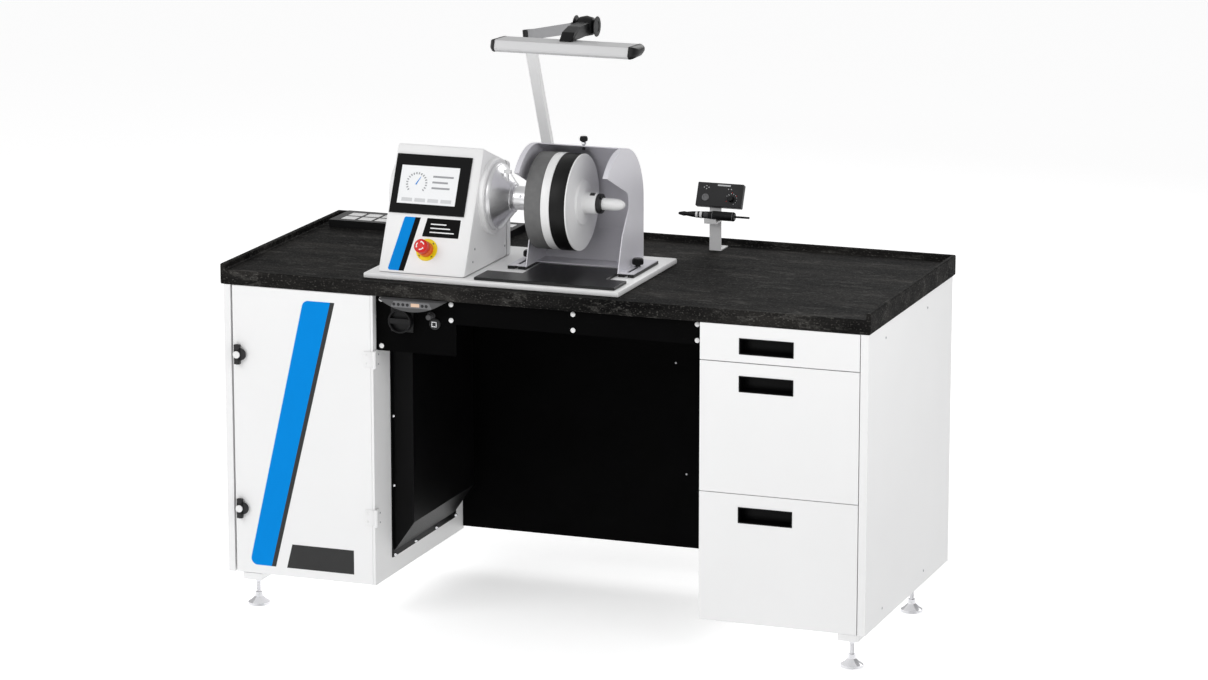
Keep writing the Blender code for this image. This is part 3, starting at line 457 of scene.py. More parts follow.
# ------------ desk
def door_trim():
    """Slanted stripes on the door, and the trim of its latches and hinges."""
    low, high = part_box("left_door")
    face = on_front(0, low.y, 0)
    top, bottom = high.z - 0.027, low.z + 0.024
    band = ((-0.8276, bottom), (-0.7637, bottom), (-0.5828, top), (-0.6605, top))
    outline = rounded(band, (0.018, 0, 0, 0.018))
    prism_piece("door_stripe_blue", "door", "blue", outline, 0, LIFT, face)
    lean = (band[2][0] - band[1][0]) / (top - bottom)
    width = 0.0125
    bm = bmesh.new()
    add_prism(bm, [(band[1][0], bottom), (band[1][0] + width, bottom), (band[2][0] + width, top),
                   (band[2][0], top)], 0, LIFT, face)
    foot = bottom + 0.066
    start = band[1][0] + lean * (foot - bottom) + 0.045
    add_prism(bm, [(start - lean * 0.066, bottom), (-0.5235, bottom), (-0.5235, foot), (start, foot)], 0,
              LIFT, face)
    piece("door_stripe_dark", bm, "door", "grey_print_and_painted_shade")
    for side in ("upper", "lower"):
        latch_trim(side)
        hinge_trim(side)


def latch_trim(side):
    """White cap and its dark boss on a quarter-turn latch."""
    name = "door_latch_" + side
    pivot = pivot_of("latch_%s_turn" % side)
    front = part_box(name)[0].y
    face = on_front(*pivot)
    body = "latch_" + side
    depth = pivot.y - front
    turned_piece(name + "_cap", body, "white_plastic",
                 [(0.0098, depth - 0.001), (0.0098, depth + 0.0022), (0.0088, depth + 0.0034),
                  (0.005, depth + 0.0038), (0, depth + 0.0038)], face, 32)
    boss = on_front(pivot.x + 0.007, pivot.y, pivot.z)
    turned_piece(name + "_boss", body, "dark_plastic",
                 [(0.0165, 0.0042), (0.0165, 0.0082), (0.0145, 0.01), (0, 0.01)], boss, 32)
    bm = bmesh.new()
    for way in (-1, 1):
        add_turned(bm, [(0.0078, depth - 0.005), (0.0078, depth - 0.0006), (0.0062, depth + 0.001),
                        (0, depth + 0.0014)], on_front(pivot.x, pivot.y, pivot.z + way * 0.0195), 24)
    piece(name + "_tips", bm, body, "dark_plastic")


def hinge_trim(side):
    """Door-side leaf with its two screws, and screws in the cabinet-side leaf."""
    low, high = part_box("door_hinge_" + side)
    door_low, door_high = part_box("left_door")
    pin = pivot_of("door_swing")
    bm = bmesh.new()
    add_block(bm, (door_high.x - 0.02, door_low.y - 0.003, low.z + 0.002),
              (pin.x - 0.0052, door_low.y - LIFT, high.z - 0.002), bevel=0.0007)
    for z in (low.z + 0.012, high.z - 0.012):
        screw_head(bm, on_front(door_high.x - 0.012, door_low.y - 0.003, z), 0.003, 0.0012)
    piece("hinge_leaf_" + side, bm, "door", "white_plastic")
    bm = bmesh.new()
    for z in (low.z + 0.01, high.z - 0.01):
        screw_head(bm, facing((high.x, pin.y + 0.015, z), (1, 0, 0)), 0.0026, 0.001)
    piece("hinge_screws_" + side, bm, BENCH, "steel")


def drawer_trim():
    """Black grip cups in the drawer fronts and telescopic runners at their sides."""
    for name in ("top", "middle", "bottom"):
        node = "drawer_" + name
        body = name + "_drawer"
        grip_cup(node, body)
        runner(node, body)


def grip_cup(node, body):
    """Black liner of a finger recess, with a rolled lip."""
    low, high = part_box(node)
    left, right = 0.5533, 0.6965
    bottom, top = high.z - 0.074, high.z - 0.0345
    back = low.y + 0.0268
    thick = 0.0016
    bm = bmesh.new()
    add_block(bm, (left + LIFT, back - thick, bottom + LIFT), (right - LIFT, back, top - LIFT),
              bevel=0.0004)
    mouth = low.y + 0.0006
    for floor, roof in ((bottom + LIFT, bottom + thick), (top - thick, top - LIFT)):
        add_block(bm, (left + LIFT, mouth, floor), (right - LIFT, back, roof), bevel=0.0004)
    for x in (left + LIFT, right - LIFT - thick):
        add_block(bm, (x, mouth, bottom + LIFT), (x + thick, back, top - LIFT), bevel=0.0004)
    lip = 0.003
    half = lip * 0.5
    proud, sunk = low.y - 0.0012, low.y + 0.0004
    for z in (bottom - half, top - half):
        add_block(bm, (left - half, proud, z), (right + half, sunk, z + lip), bevel=0.0006)
    for x in (left - half, right - half):
        add_block(bm, (x, proud, bottom), (x + lip, sunk, top), bevel=0.0006)
    piece(node + "_grip", bm, body, "black_coat")


def runner(node, body):
    """Slim telescopic runners: one rail on the cabinet, one on the drawer."""
    middle = {"drawer_top": 0.835, "drawer_middle": 0.56, "drawer_bottom": 0.225}[node]
    front, back = -0.365, 0.16
    for rail, rides_on, near, far, half in (("_rails", BENCH, 0.0004, 0.006, 0.017),
                                            ("_slides", body, 0.0068, 0.0145, 0.012)):
        bm = bmesh.new()
        for wall, way in ((0.4664, 1), (0.8755, -1)):
            first, second = sorted((wall + way * near, wall + way * far))
            add_block(bm, (first, front, middle - half), (second, back, middle + half), bevel=0.0015)
        piece(node + rail, bm, rides_on, "steel")


def desk_trim():
    """Screws, rivets and lock nuts of the desk."""
    bm = bmesh.new()
    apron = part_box("front_apron")[0].y
    spots = [(-0.4457, 0.873), (-0.4457, 0.7475)]
    spots += [(x, z) for x in (-0.248, 0.092, 0.432) for z in (0.873, 0.831)]
    for x, z in spots:
        add_turned(bm, [(0.0066, 0), (0.0066, 0.0016), (0.0052, 0.003), (0.0028, 0.0037), (0, 0.0039)],
                   on_front(x, apron, z), 24)
    piece("apron_screw_caps", bm, BENCH, "white_plastic")
    bm = bmesh.new()
    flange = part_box("filter_cover")
    side = -0.458
    spots = [(flange[0].y + 0.013, z) for z in (0.151, 0.342, 0.533, 0.724)]
    spots += [(y, 0.1515) for y in (-0.124, 0.023, 0.163)]
    spots += [(flange[1].y - 0.005, z) for z in (0.342, 0.533, 0.724)]
    for y, z in spots:
        add_turned(bm, [(0.0054, 0), (0.005, 0.0014), (0.0026, 0.005), (0.0012, 0.0062), (0, 0.0065)],
                   facing((side, y, z), (1, 0, 0)), 16)
    piece("filter_cover_rivets", bm, BENCH, "chrome")
    bm = bmesh.new()
    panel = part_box("modesty_panel")[0].y
    for x, z in ((0.165, 0.62), (0.197, 0.311)):
        screw_head(bm, on_front(x, panel, z), 0.0028, 0.0011)
    for x, way in ((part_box("right_carcass")[1].x, 1), (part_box("left_carcass")[0].x, -1)):
        for y in (-0.242, 0.138):
            for z in (0.847, 0.13):
                screw_head(bm, facing((x, y, z), (way, 0, 0)), 0.0036, 0.001)
    piece("panel_screws", bm, BENCH, "steel")
    foot_nuts()


def foot_nuts():
    """A coated shell round each foot's block and a hexagonal lock nut under it."""
    bm = bmesh.new()
    for name in FEET:
        low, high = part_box(name)
        x, y = (low.x + high.x) / 2, (low.y + high.y) / 2
        add_block(bm, (x - 0.0274, y - 0.0394, 0.0772),
                  (x + 0.0274, y + 0.0394, high.z - 0.0002), bevel=0.0012)
    piece("foot_blocks", bm, BENCH, "white_coat")
    bm = bmesh.new()
    for name in FEET:
        base = Matrix.Translation((*middle_of(name).xy, 0))
        add_turned(bm, [(0.0052, 0.064), (0.0094, 0.064), (0.01, 0.065), (0.01, 0.0715), (0.0094, 0.0725),
                        (0.0052, 0.0725)], base, 6)
        for turn in range(9):
            height = 0.037 + turn * 0.003
            add_turned(bm, [(0.005, height), (0.0058, height + 0.0011), (0.0058, height + 0.0016),
                            (0.005, height + 0.0027)], base, 16)
    piece("foot_lock_nuts", bm, BENCH, "chrome", smooth=25.0)


def control_trim():
    """Plate and marks of the main switch, push button collar, network socket and the pod's face."""
    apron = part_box("front_apron")[0].y
    pivot = pivot_of("main_switch_turn")
    face = on_front(pivot.x, apron, pivot.z)
    bm = bmesh.new()
    add_block(bm, (-0.032, -0.032, 0), (0.032, 0.032, 0.0042), face, bevel=0.0015)
    for turn in (0, 90):
        angle = radians(turn + 90)
        mark = at(face, *polar(0.0295, angle), 0.0042)
        add_turned(bm, [(0.0012, 0), (0.001, 0.0003), (0, 0.0003)], mark, 12)
    piece("main_switch_plate", bm, BENCH, "black_plastic")
    button = middle_of("push_button")
    turned_piece("push_button_collar", BENCH, "dark_plastic",
                 [(0.0062, 0), (0.0115, 0), (0.0115, 0.0018), (0.0104, 0.003), (0.0078, 0.0034),
                  (0.0062, 0.0034)], on_front(button.x, apron, button.z), 28)
    socket_trim(apron)
    pod_trim()


def socket_trim(apron):
    """Round socket housing with a square metal frame and a dark port."""
    face = on_front(-0.293, apron, 0.818)
    turned_piece("network_socket_housing", BENCH, "dark_plastic",
                 [(0.015, 0), (0.015, 0.005), (0.0138, 0.0066), (0.0112, 0.007), (0.01, 0.0052),
                  (0, 0.0052)], face, 36)
    bm = bmesh.new()
    outer, inner = 0.0072, 0.005
    for low, high in (((-outer, inner), (outer, outer)), ((-outer, -outer), (outer, -inner)),
                      ((-outer, -inner), (-inner, inner)), ((inner, -inner), (outer, inner))):
        add_block(bm, (*low, 0.005), (*high, 0.0086), face, bevel=0.0004)
    piece("network_socket_frame", bm, BENCH, "chrome")


def pod_trim():
    """Inlay on the pod's face: keys and a small display."""
    low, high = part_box("display_pod")
    middle, proud = (low.x + high.x) / 2, 0.0014
    half, sagitta = (high.x - low.x) / 2, high.z - low.z
    radius = (half * half + sagitta * sagitta) / (2 * sagitta)
    reach = asin(half / radius)
    turns = [reach * (step / 24 - 1) for step in range(49)]
    rim = [(radius * sin(turn), radius - sagitta - radius * cos(turn)) for turn in turns]
    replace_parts(prism_piece("pod_body", BENCH, "grey_plastic", rim, 0, high.y - low.y - proud,
                            on_front(middle, high.y, high.z), bevel=0.001), "display_pod")
    face = on_front(middle, low.y + proud, high.z)
    outline = rounded([(-0.0575, -0.019), (0.059, -0.019), (0.0505, -0.003), (-0.049, -0.003)],
                      (0.002,) * 4)
    prism_piece("pod_inlay", BENCH, "mid_plastic", outline, 0, 0.0004, face)
    outline = rounded([(0, -0.0155), (0.0238, -0.0155), (0.0238, -0.0065), (0, -0.0065)], (0.001,) * 4)
    prism_piece("pod_display", BENCH, "display", outline, 0.0004, 0.0008, face, slot="screen")
    bm = bmesh.new()
    for x in (-0.048, -0.0353, -0.0225, -0.01, 0.0321, 0.0433):
        spot = at(face, x, -0.0115, 0.0004)
        add_turned(bm, [(0.0042, 0), (0.0042, 0.0004), (0.0036, 0.0008), (0, 0.0009)], spot, 20)
    piece("pod_keys", bm, BENCH, "dark_plastic", "grey_plastic")


def tray_trim():
    """Pale pads in the rests of the tray."""
    low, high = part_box("parts_tray")
    first, cell, pitch = low.x + 0.024, 0.044, 0.05
    bm = bmesh.new()
    for row in range(2):
        y = low.y + 0.0215 + row * pitch
        for column in range(10):
            x = first + column * pitch
            add_block(bm, (x + 0.0006, y + 0.0006, 0.9411),
                      (x + cell - 0.0006, y + cell - 0.0006, high.z - 0.0004), bevel=0.001)
    piece("tray_pads", bm, BENCH, "white_plastic")


# ------------ polisher
def face_frame():
    """The housing's sloping front: local Y runs up the face from its foot."""
    return local_frame((0, -0.338, 0.938), (1, 0, 0), (0, sin(HOUSING_LEAN), cos(HOUSING_LEAN)))


def screen_trim():
    """A plain made-up gauge and bars on the touch screen."""
    face = face_frame()
    height = 0.001 + LIFT
    left, right, bottom, top = -0.4447, -0.2803, 0.1892, 0.2927
    prism_piece("screen_panel", BENCH, "screen_white",
                [(left, bottom), (right, bottom), (right, top), (left, top)], height + 0.0018,
                height + 0.0021, face, slot="screen")
    level = height + 0.0022
    bm = bmesh.new()
    centre = (left + 0.048, (bottom + top) / 2 + 0.004)
    for step in range(18):
        angle = radians(-40 + step * 15.3)
        spot = at(face, *centre, level) @ spin(angle)
        add_block(bm, (0.0245, -0.0016, 0), (0.03, 0.0016, 0.0003), spot)
    for index, length in enumerate((0.058, 0.044, 0.051)):
        y = centre[1] + 0.018 - index * 0.0155
        add_block(bm, (centre[0] + 0.044, y, level),
                  (centre[0] + 0.044 + length, y + 0.005, level + 0.0003), face)
    piece("screen_marks", bm, BENCH, "screen_grey", "screen")
    bm = bmesh.new()
    for index in range(4):
        x = left + 0.012 + index * 0.037
        add_block(bm, (x, bottom + 0.006, level), (x + 0.03, bottom + 0.0155, level + 0.0003), face)
    piece("screen_keys", bm, BENCH, "screen_pale", "screen")
    bm = bmesh.new()
    needle = at(face, *centre, level) @ spin(radians(62))
    add_prism(bm, [(-0.004, -0.0016), (0.021, -0.0004), (0.021, 0.0004), (-0.004, 0.0016)], 0.0004, 0.0007,
              needle)
    piece("screen_needle", bm, BENCH, "blue", "screen")


def housing_trim():
    """Plain stripes and panel on the sloping front, screws and the emergency stop's details."""
    face = face_frame()
    bottom, top = 0.008, 0.1542
    outline = rounded([(-0.4425, bottom), (-0.411, bottom), (-0.386, top), (-0.4165, top)],
                      (0.006, 0, 0, 0.006))
    prism_piece("front_stripe_blue", BENCH, "blue", outline, 0, LIFT, face)
    bm = bmesh.new()
    add_prism(bm, [(-0.411, bottom), (-0.396, bottom), (-0.371, top), (-0.386, top)], 0, LIFT, face)
    add_prism(bm, rounded([(-0.36, 0.104), (-0.2575, 0.104), (-0.2575, top), (-0.352, top)], (0.002,) * 4),
              0, LIFT, face)
    piece("front_panel_black", bm, BENCH, "black_print_and_painted_shade")
    bm = bmesh.new()
    for index in range(3):
        lower = 0.115 + index * 0.011
        upper = 0.118 + index * 0.011
        add_block(bm, (-0.34, lower, LIFT), (-0.272 - index * 0.012, upper, 2 * LIFT), face)
    piece("front_panel_lines", bm, BENCH, "screen_white")
    bm = bmesh.new()
    right_side, left_side = -0.2232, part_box("machine_housing")[0].x
    for x, way, spots in ((right_side, 1, ((-0.278, 0.97), (-0.264, 1.002), (-0.05, 0.97), (-0.05, 1.16))),
                          (left_side, -1, ((-0.278, 0.97), (-0.05, 0.97), (-0.05, 1.18)))):
        for y, z in spots:
            screw_head(bm, facing((x, y, z), (way, 0, 0)), 0.0032, 0.0012)
    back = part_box("rear_cover")[1].y
    for x in (-0.455, -0.238):
        for z in (0.956, 1.16):
            screw_head(bm, facing((x, back, z), (0, 1, 0)), 0.004, 0.0016)
    motor_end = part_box("motor_cap")[0].x + 0.001
    for step in range(4):
        y, z = polar(0.078, radians(45 + 90 * step))
        screw_head(bm, facing((motor_end, -0.135 + y, 1.1205 + z), (-1, 0, 0)), 0.004, 0.002)
    piece("housing_screws", bm, BENCH, "steel")
    # painted shade of the rear vent slots
    paint_vent_shade(back)
    stop_trim(face)


def paint_vent_shade(back):
    """A row of cooling slots in the rear cover, drawn as flat black inlays: painted shade that stands in
    for the dark inside of the open slots.
    """
    bm = bmesh.new()
    for index in range(7):
        z = 0.985 + index * 0.014
        place = local_frame((-0.3465, back, z), (-1, 0, 0), (0, 0, 1))
        add_prism(bm, rounded([(-0.06, -0.0025), (0.06, -0.0025), (0.06, 0.0025), (-0.06, 0.0025)],
                              (0.0024,) * 4, 4), 0, 0.0004, place)
    # painted shade: the black inlays stand for the shade inside the vent slots
    piece("rear_vent_painted_shade", bm, BENCH, "black_print_and_painted_shade")


def stop_trim(face):
    """Arrow arcs on the mushroom, the orange collar under it and the marks on the yellow plate."""
    centre = at(face, -0.3405, (1.0003 - 0.938) / cos(HOUSING_LEAN))
    button_top = at(centre, 0, 0, 0.04945)
    bm = bmesh.new()
    for step in range(3):
        start = radians(20 + 120 * step)
        angles = [start + radians(62) * part / 8 for part in range(9)]
        arc = [polar(0.0118, angle) for angle in angles]
        arc += [polar(0.0092, angle) for angle in reversed(angles)]
        add_prism(bm, arc, 0, 0.0004, button_top)
        tip = start + radians(60)
        point = polar(0.0105, start + radians(74))
        add_prism(bm, [polar(0.0138, tip), point, polar(0.0072, tip)], 0, 0.0004, button_top)
    piece("estop_arrows", bm, "emergency_stop", "white_plastic")
    turned_piece("estop_collar", BENCH, "orange",
                 [(0.0183, 0.004), (0.02, 0.004), (0.0195, 0.0235), (0.0186, 0.0247), (0.0183, 0.0247)],
                 centre, 48)
    bm = bmesh.new()
    for step in range(4):
        angle = radians(45 + 90 * step)
        spot = at(centre, *polar(0.0247, angle), 0.0029) @ spin(angle + radians(90))
        add_prism(bm, [(-0.003, -0.0012), (0.0018, -0.0012), (0.0034, 0), (0.0018, 0.0012),
                       (-0.003, 0.0012)], 0, 0.0003, spot)
    piece("estop_plate_marks", bm, BENCH, "grey_print_and_painted_shade", "yellow_plastic")


def spindle_trim():
    """Smooth cone and hub with their rings and screws, and the wheels."""
    axis = pivot_of("spindle_spin")
    along = local_frame((0, axis.y, axis.z), (0, 1, 0), (0, 0, 1))
    bm = bmesh.new()
    for height, radius in ((-0.161, 0.0414), (-0.199, 0.0872)):
        add_turned(bm, [(radius - 0.003, height - 0.0012), (radius + 0.0008, height - 0.0012),
                        (radius + 0.0002, height + 0.0012), (radius - 0.004, height + 0.0012)], along, 72)
    piece("cone_rings", bm, BENCH, "polished")
    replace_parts(turned_piece("nose_cone_round", BENCH, "polished",
                             [(0.089, -0.2098), (0.0895, -0.205), (0.0885, -0.201), (0.063, -0.179),
                              (0.037, -0.1572), (0.0353, -0.156), (0.0325, -0.156), (0.0325, -0.2098)],
                             along, 128, smooth=28.0), "nose_cone")
    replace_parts(turned_piece("hub_round", "spindle", "polished",
                             [(BORE, -0.17), (0.031, -0.17), (0.0318, -0.1692), (0.0318, -0.156),
                              (0.0306, -0.1548), (0.0306, -0.152), (0.0318, -0.1508), (0.0318, -0.1208),
                              (0.031, -0.12), (0.0283, -0.12), (0.0275, -0.1192), (0.0275, -0.093),
                              (0.054, -0.093), (0.055, -0.092), (0.055, -0.0862), (BORE, -0.0862)], along,
                             96, smooth=40.0), "hub_sleeve")
    bm = bmesh.new()
    for step in range(3):
        angle = radians(40 + 120 * step)
        y, z = polar(0.0316, angle)
        screw_head(bm, facing((-0.133, axis.y + y, axis.z + z), (0, *polar(1, angle))), 0.0036, 0.0016)
    piece("hub_screws", bm, "spindle", "steel")
    wheel_trim(along)


def wheel_trim(along):
    """Wheels and outer flange with soft rims, and grey blocks on the flange's hub that paint the shade
    inside its slots.
    """
    radius, soft = 0.1285, 0.0014
    for name, look, near, far in (("grey_wheel", "grey_wheel", -0.0855, -0.0402),
                                  ("spacer_wheel", "white_plastic", -0.0399, -0.016),
                                  ("black_wheel", "black_wheel", -0.0157, 0.027)):
        made = turned_piece(name + "_round", "spindle", look,
                            [(BORE, near), (radius - soft, near), (radius - soft * 0.3, near + soft * 0.3),
                             (radius, near + soft), (radius, far - soft),
                             (radius - soft * 0.3, far - soft * 0.3), (radius - soft, far), (BORE, far)],
                            along, 128, smooth=50.0)
        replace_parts(made, name)
    bm = bmesh.new()
    rim = 0.1283
    add_turned(bm, [(BORE, 0.0273), (rim, 0.0273), (rim + 0.0002, 0.0284), (rim - 0.0012, 0.0303),
                    (0.0625, 0.0306), (0.0606, 0.0318), (0.0598, 0.0345), (0.0585, 0.0362), (0.056, 0.037),
                    (0.033, 0.0376), (0.029, 0.0392), (0.0281, 0.042), (0.028, 0.0735), (0.0272, 0.0745),
                    (BORE, 0.0745)], along, 128)
    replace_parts(piece("outer_flange_round", bm, "spindle", "white_coat", smooth=50.0), "outer_flange")
    bm = bmesh.new()
    for step in range(2):
        turned = along @ spin(radians(112 + 180 * step))
        add_block(bm, (0.0262, -0.0062, 0.056), (0.0287, 0.0062, 0.07), turned, bevel=0.0008)
    # painted shade: the grey blocks stand for the dark inside of the hub's slots
    piece("flange_slot_painted_shade", bm, "spindle", "grey_print_and_painted_shade", "black_plastic")


def hood_trim():
    """Rubber pads under the feet, clamp washers, the roof screw's nut and ribs on the knobs."""
    low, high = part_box("dust_hood")
    foot = 0.9463
    bm = bmesh.new()
    for left, right, slot in ((low.x - 0.0015, -0.112, -0.138), (0.1485, high.x + 0.001, 0.169)):
        outline = [(left, -0.183), (slot - 0.005, -0.183), (slot - 0.005, -0.078), (slot + 0.005, -0.078),
                   (slot + 0.005, -0.183), (right, -0.183), (right, 0.009), (left, 0.009)]
        add_prism(bm, outline, 0.9386, foot - 0.0001)
    piece("hood_pads", bm, "hood", "rubber")
    bm = bmesh.new()
    for x in (-0.138, 0.169):
        add_turned(bm, [(0.0046, 0.949), (0.0095, 0.949), (0.0095, 0.9502), (0.0088, 0.9508),
                        (0.0074, 0.9508)], Matrix.Translation((x, -0.09, 0)), 28)
    piece("clamp_washers", bm, BENCH, "steel")
    knurls("hood_clamp_left", "clamp_left")
    knurls("hood_clamp_right", "clamp_right")
    turned_piece("roof_screw_nut", "hood", "chrome",
                 [(0.0043, 1.2685), (0.0066, 1.2685), (0.007, 1.2692), (0.007, 1.2735), (0.0066, 1.2742),
                  (0.0043, 1.2742)], Matrix.Translation((0.021, -0.1, 0)), 6, smooth=25.0)
    knurls("hood_top_screw", "hood_screw", top_only=True)


def knurls(node, body, top_only=False):
    """Grip ribs round a knob."""
    low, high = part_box(node)
    middle = middle_of(node)
    radius = (high.x - low.x) / 2
    bottom = high.z - (0.0115 if top_only else 0.015)
    bm = bmesh.new()
    for step in range(12):
        angle = FULL * step / 12
        x, y = polar(radius - 0.0006, angle)
        spot = Matrix.Translation((middle.x + x, middle.y + y, 0))
        add_turned(bm, [(0, bottom), (0.0015, bottom + 0.0008), (0.0015, high.z - 0.004),
                        (0, high.z - 0.003)], spot, 10)
    piece(node + "_ribs", bm, body, "black_plastic")


# ------------ lamp
def lamp_trim():
    """End caps and covers on the arms, and the lamp head with its caps."""
    pivot = pivot_of("lower_arm_tilt")
    elbow = pivot_of("elbow_turn")
    knuckle = pivot_of("knuckle_tilt")
    lower_arm_trim(pivot, elbow)
    upper_arm_trim(elbow, knuckle)
    head_trim(knuckle)
    bracket_trim()


def arm_frame(start, end, across):
    """A frame with its Z along the arm and its X across it."""
    along = (end - start).normalized()
    x = (Vector(across) - along * along.dot(Vector(across))).normalized()
    y = along.cross(x)
    return Matrix.Translation(start) @ Matrix((x, y, along)).transposed().to_4x4()


def lower_arm_trim(pivot, elbow):
    """Cap at the top of the lower arm, and the bolts of its pivot."""
    place = arm_frame(pivot, elbow, (1, 0, 0))
    reach = (elbow - pivot).length
    bm = bmesh.new()
    add_block(bm, (-0.0146, -0.0102, reach - 0.042), (0.0146, 0.0102, reach - 0.0262), place, bevel=0.002)
    add_turned(bm, [(0.011, reach - 0.0262), (0.011, reach - 0.017), (0.01, reach - 0.016),
                    (0, reach - 0.016)], place, 28)
    piece("lower_arm_cap", bm, "lower_arm", "black_plastic")
    bm = bmesh.new()
    for way in (-1, 1):
        spot = facing((pivot.x + way * 0.0225, pivot.y, pivot.z), (way, 0, 0))
        add_turned(bm, [(0.0105, 0), (0.0105, 0.003), (0.0092, 0.0045), (0.005, 0.0048), (0.005, 0.0025),
                        (0, 0.0025)], spot, 28)
    piece("lamp_pivot_bolts", bm, "lamp_base", "dark_plastic")


def upper_arm_trim(elbow, knuckle):
    """Elbow housing and the fork that holds the knuckle."""
    axis = Vector(JOINTS["elbow_turn"]["axis"])
    column = facing(elbow, axis)
    bm = bmesh.new()
    add_turned(bm, [(0, -0.014), (0.015, -0.014), (0.016, -0.013), (0.016, 0.013), (0.015, 0.0145),
                    (0.008, 0.015), (0, 0.015)], column, 40)
    place = arm_frame(elbow, knuckle, axis)
    add_block(bm, (-0.0138, -0.0098, 0.008), (0.0138, 0.0098, 0.02), place, bevel=0.0025)
    piece("elbow_housing", bm, "upper_arm", "black_plastic")
    reach = (knuckle - elbow).length
    bm = bmesh.new()
    add_block(bm, (-0.0148, -0.0108, reach - 0.08), (0.0148, 0.0108, reach - 0.042), place, bevel=0.0025)
    add_turned(bm, [(0.0125, reach - 0.048), (0.0115, reach - 0.033), (0.01, reach - 0.0305),
                    (0, reach - 0.03)], place, 28)
    for way in (-1, 1):
        disc = facing((knuckle.x + way * 0.0283, knuckle.y, knuckle.z), (way, 0, 0))
        add_turned(bm, [(0.0265, 0), (0.027, 0.0006), (0.0262, 0.0018), (0.015, 0.0022), (0.014, 0.001),
                        (0, 0.001)], disc, 48)
    piece("upper_arm_fork", bm, "upper_arm", "black_plastic")


# The corners of the lamp head's section as (Y, Z).
HEAD_OUTLINE = [(-0.25, 1.569), (-0.226, 1.556), (-0.27, 1.54), (-0.328, 1.54), (-0.338, 1.548),
                (-0.33, 1.572)]


def head_trim(knuckle):
    """Aluminium bar, pointed end caps, diffuser and the shoe on its back."""
    half, cap = 0.203, 0.02
    low = knuckle.x - half + cap
    high = knuckle.x + half - cap
    section = rounded(HEAD_OUTLINE, (0.004, 0.008, 0.006, 0.004, 0.006, 0.004), 5)
    across = local_frame((0, 0, 0), (0, 1, 0), (0, 0, 1))
    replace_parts(prism_piece("lamp_head_bar", "lamp", "anodised", section, low, high, across), "lamp_head")
    bm = bmesh.new()
    centre = Vector((-0.283, 1.556))
    for end, way in ((high, 1), (low, -1)):
        rings = []
        for reach, scale in ((0, 1.03), (0.004, 1.03), (0.01, 0.93), (0.015, 0.76), (0.0185, 0.52),
                             (0.02, 0.22)):
            rings.append([bm.verts.new((end + way * reach, centre.x + (y - centre.x) * scale,
                                        centre.y + (z - centre.y) * scale)) for y, z in section])
        for first, second in zip(rings, rings[1:]):
            for step in range(len(section)):
                after = (step + 1) % len(section)
                bm.faces.new((first[step], first[after], second[after], second[step]))
        bm.faces.new(rings[0])
        bm.faces.new(rings[-1])
    piece("lamp_head_caps", bm, "lamp", "black_plastic")
    bm = bmesh.new()
    add_block(bm, (low + 0.004, -0.323, 1.5386), (high - 0.004, -0.274, 1.5402), bevel=0.0006)
    piece("lamp_diffuser", bm, "lamp", "diffuser")
    shoe = [(-0.278, 1.593), (-0.235, 1.602), (-0.166, 1.603), (-0.172, 1.572), (-0.248, 1.5712),
            (-0.302, 1.5712)]
    outline = rounded(shoe, (0.004, 0.006, 0.006, 0.003, 0, 0.002), 4)
    prism_piece("lamp_head_shoe", "knuckle", "black_plastic", outline, knuckle.x - 0.017, knuckle.x + 0.017,
                across, bevel=0.004)


def bracket_trim():
    """Clamp screw and top bolts of the lamp's edge bracket."""
    low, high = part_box("lamp_bracket")
    middle = (low + high) / 2
    bm = bmesh.new()
    for x in (low.x + 0.012, high.x - 0.012):
        screw_head(bm, facing((x, 0.334, high.z), (0, 0, 1)), 0.0045, 0.0028)
    piece("bracket_screws", bm, BENCH, "steel")
    bm = bmesh.new()
    spot = Matrix.Translation((middle.x, 0.372, 0))
    add_turned(bm, [(0, low.z - 0.04), (0.012, low.z - 0.039), (0.014, low.z - 0.037),
                    (0.014, low.z - 0.029), (0.012, low.z - 0.027), (0.005, low.z - 0.0265),
                    (0.005, low.z - 0.0001), (0, low.z - 0.0001)], spot, 32)
    piece("bracket_clamp_screw", bm, BENCH, "black_plastic")


# ------------ micromotor
def micromotor_trim():
    """Small fittings on the control box and rings on the handpiece."""
    face = local_frame((0, 0.28, 1.048), (1, 0, 0), (0, sin(BOX_LEAN), cos(BOX_LEAN)))
    turned_piece("box_socket", BENCH, "mid_plastic",
                 [(0.01, 0), (0.01, 0.0014), (0.009, 0.0022), (0.0062, 0.0022), (0.0056, 0.001),
                  (0, 0.001)], at(face, 0.2255, 0.024), 36)
    bm = bmesh.new()
    for step in range(9):
        x, y = polar(0.0155, radians(-60 + step * 26))
        spot = at(face, 0.299 + x, 0.023 + y)
        add_turned(bm, [(0.0011, 0), (0.0009, 0.0004), (0, 0.0004)], spot, 12)
    for x, y in ((0.219, 0.052), (0.2255, 0.056), (0.232, 0.052), (0.2255, 0.048), (0.288, 0.05),
                 (0.296, 0.05)):
        add_turned(bm, [(0.0016, 0), (0.0014, 0.0005), (0, 0.0006)], at(face, x, y), 14)
    piece("box_marks", bm, BENCH, "screen_pale", "white_plastic")
    bm = bmesh.new()
    for x, y in ((0.286, 0.0165), (0.3125, 0.033), (0.3, 0.041)):
        add_turned(bm, [(0.0012, 0), (0.001, 0.0005), (0, 0.0006)], at(face, x, y), 14)
    piece("box_lights", bm, BENCH, "red")
    prism_piece("box_bar", BENCH, "screen_pale",
                [(0.256, 0.0575), (0.293, 0.0575), (0.293, 0.0615), (0.256, 0.0615)], 0, LIFT, face,
                slot="white_plastic")
    bm = bmesh.new()
    pivot = at(face, 0.299, 0.023) @ spin(radians(120))
    add_block(bm, (0.002, -0.0009, 0.008), (0.0095, 0.0009, 0.0092), pivot, bevel=0.0003)
    piece("speed_pointer", bm, "speed", "white_plastic")
    handpiece_trim()
    stand_trim()


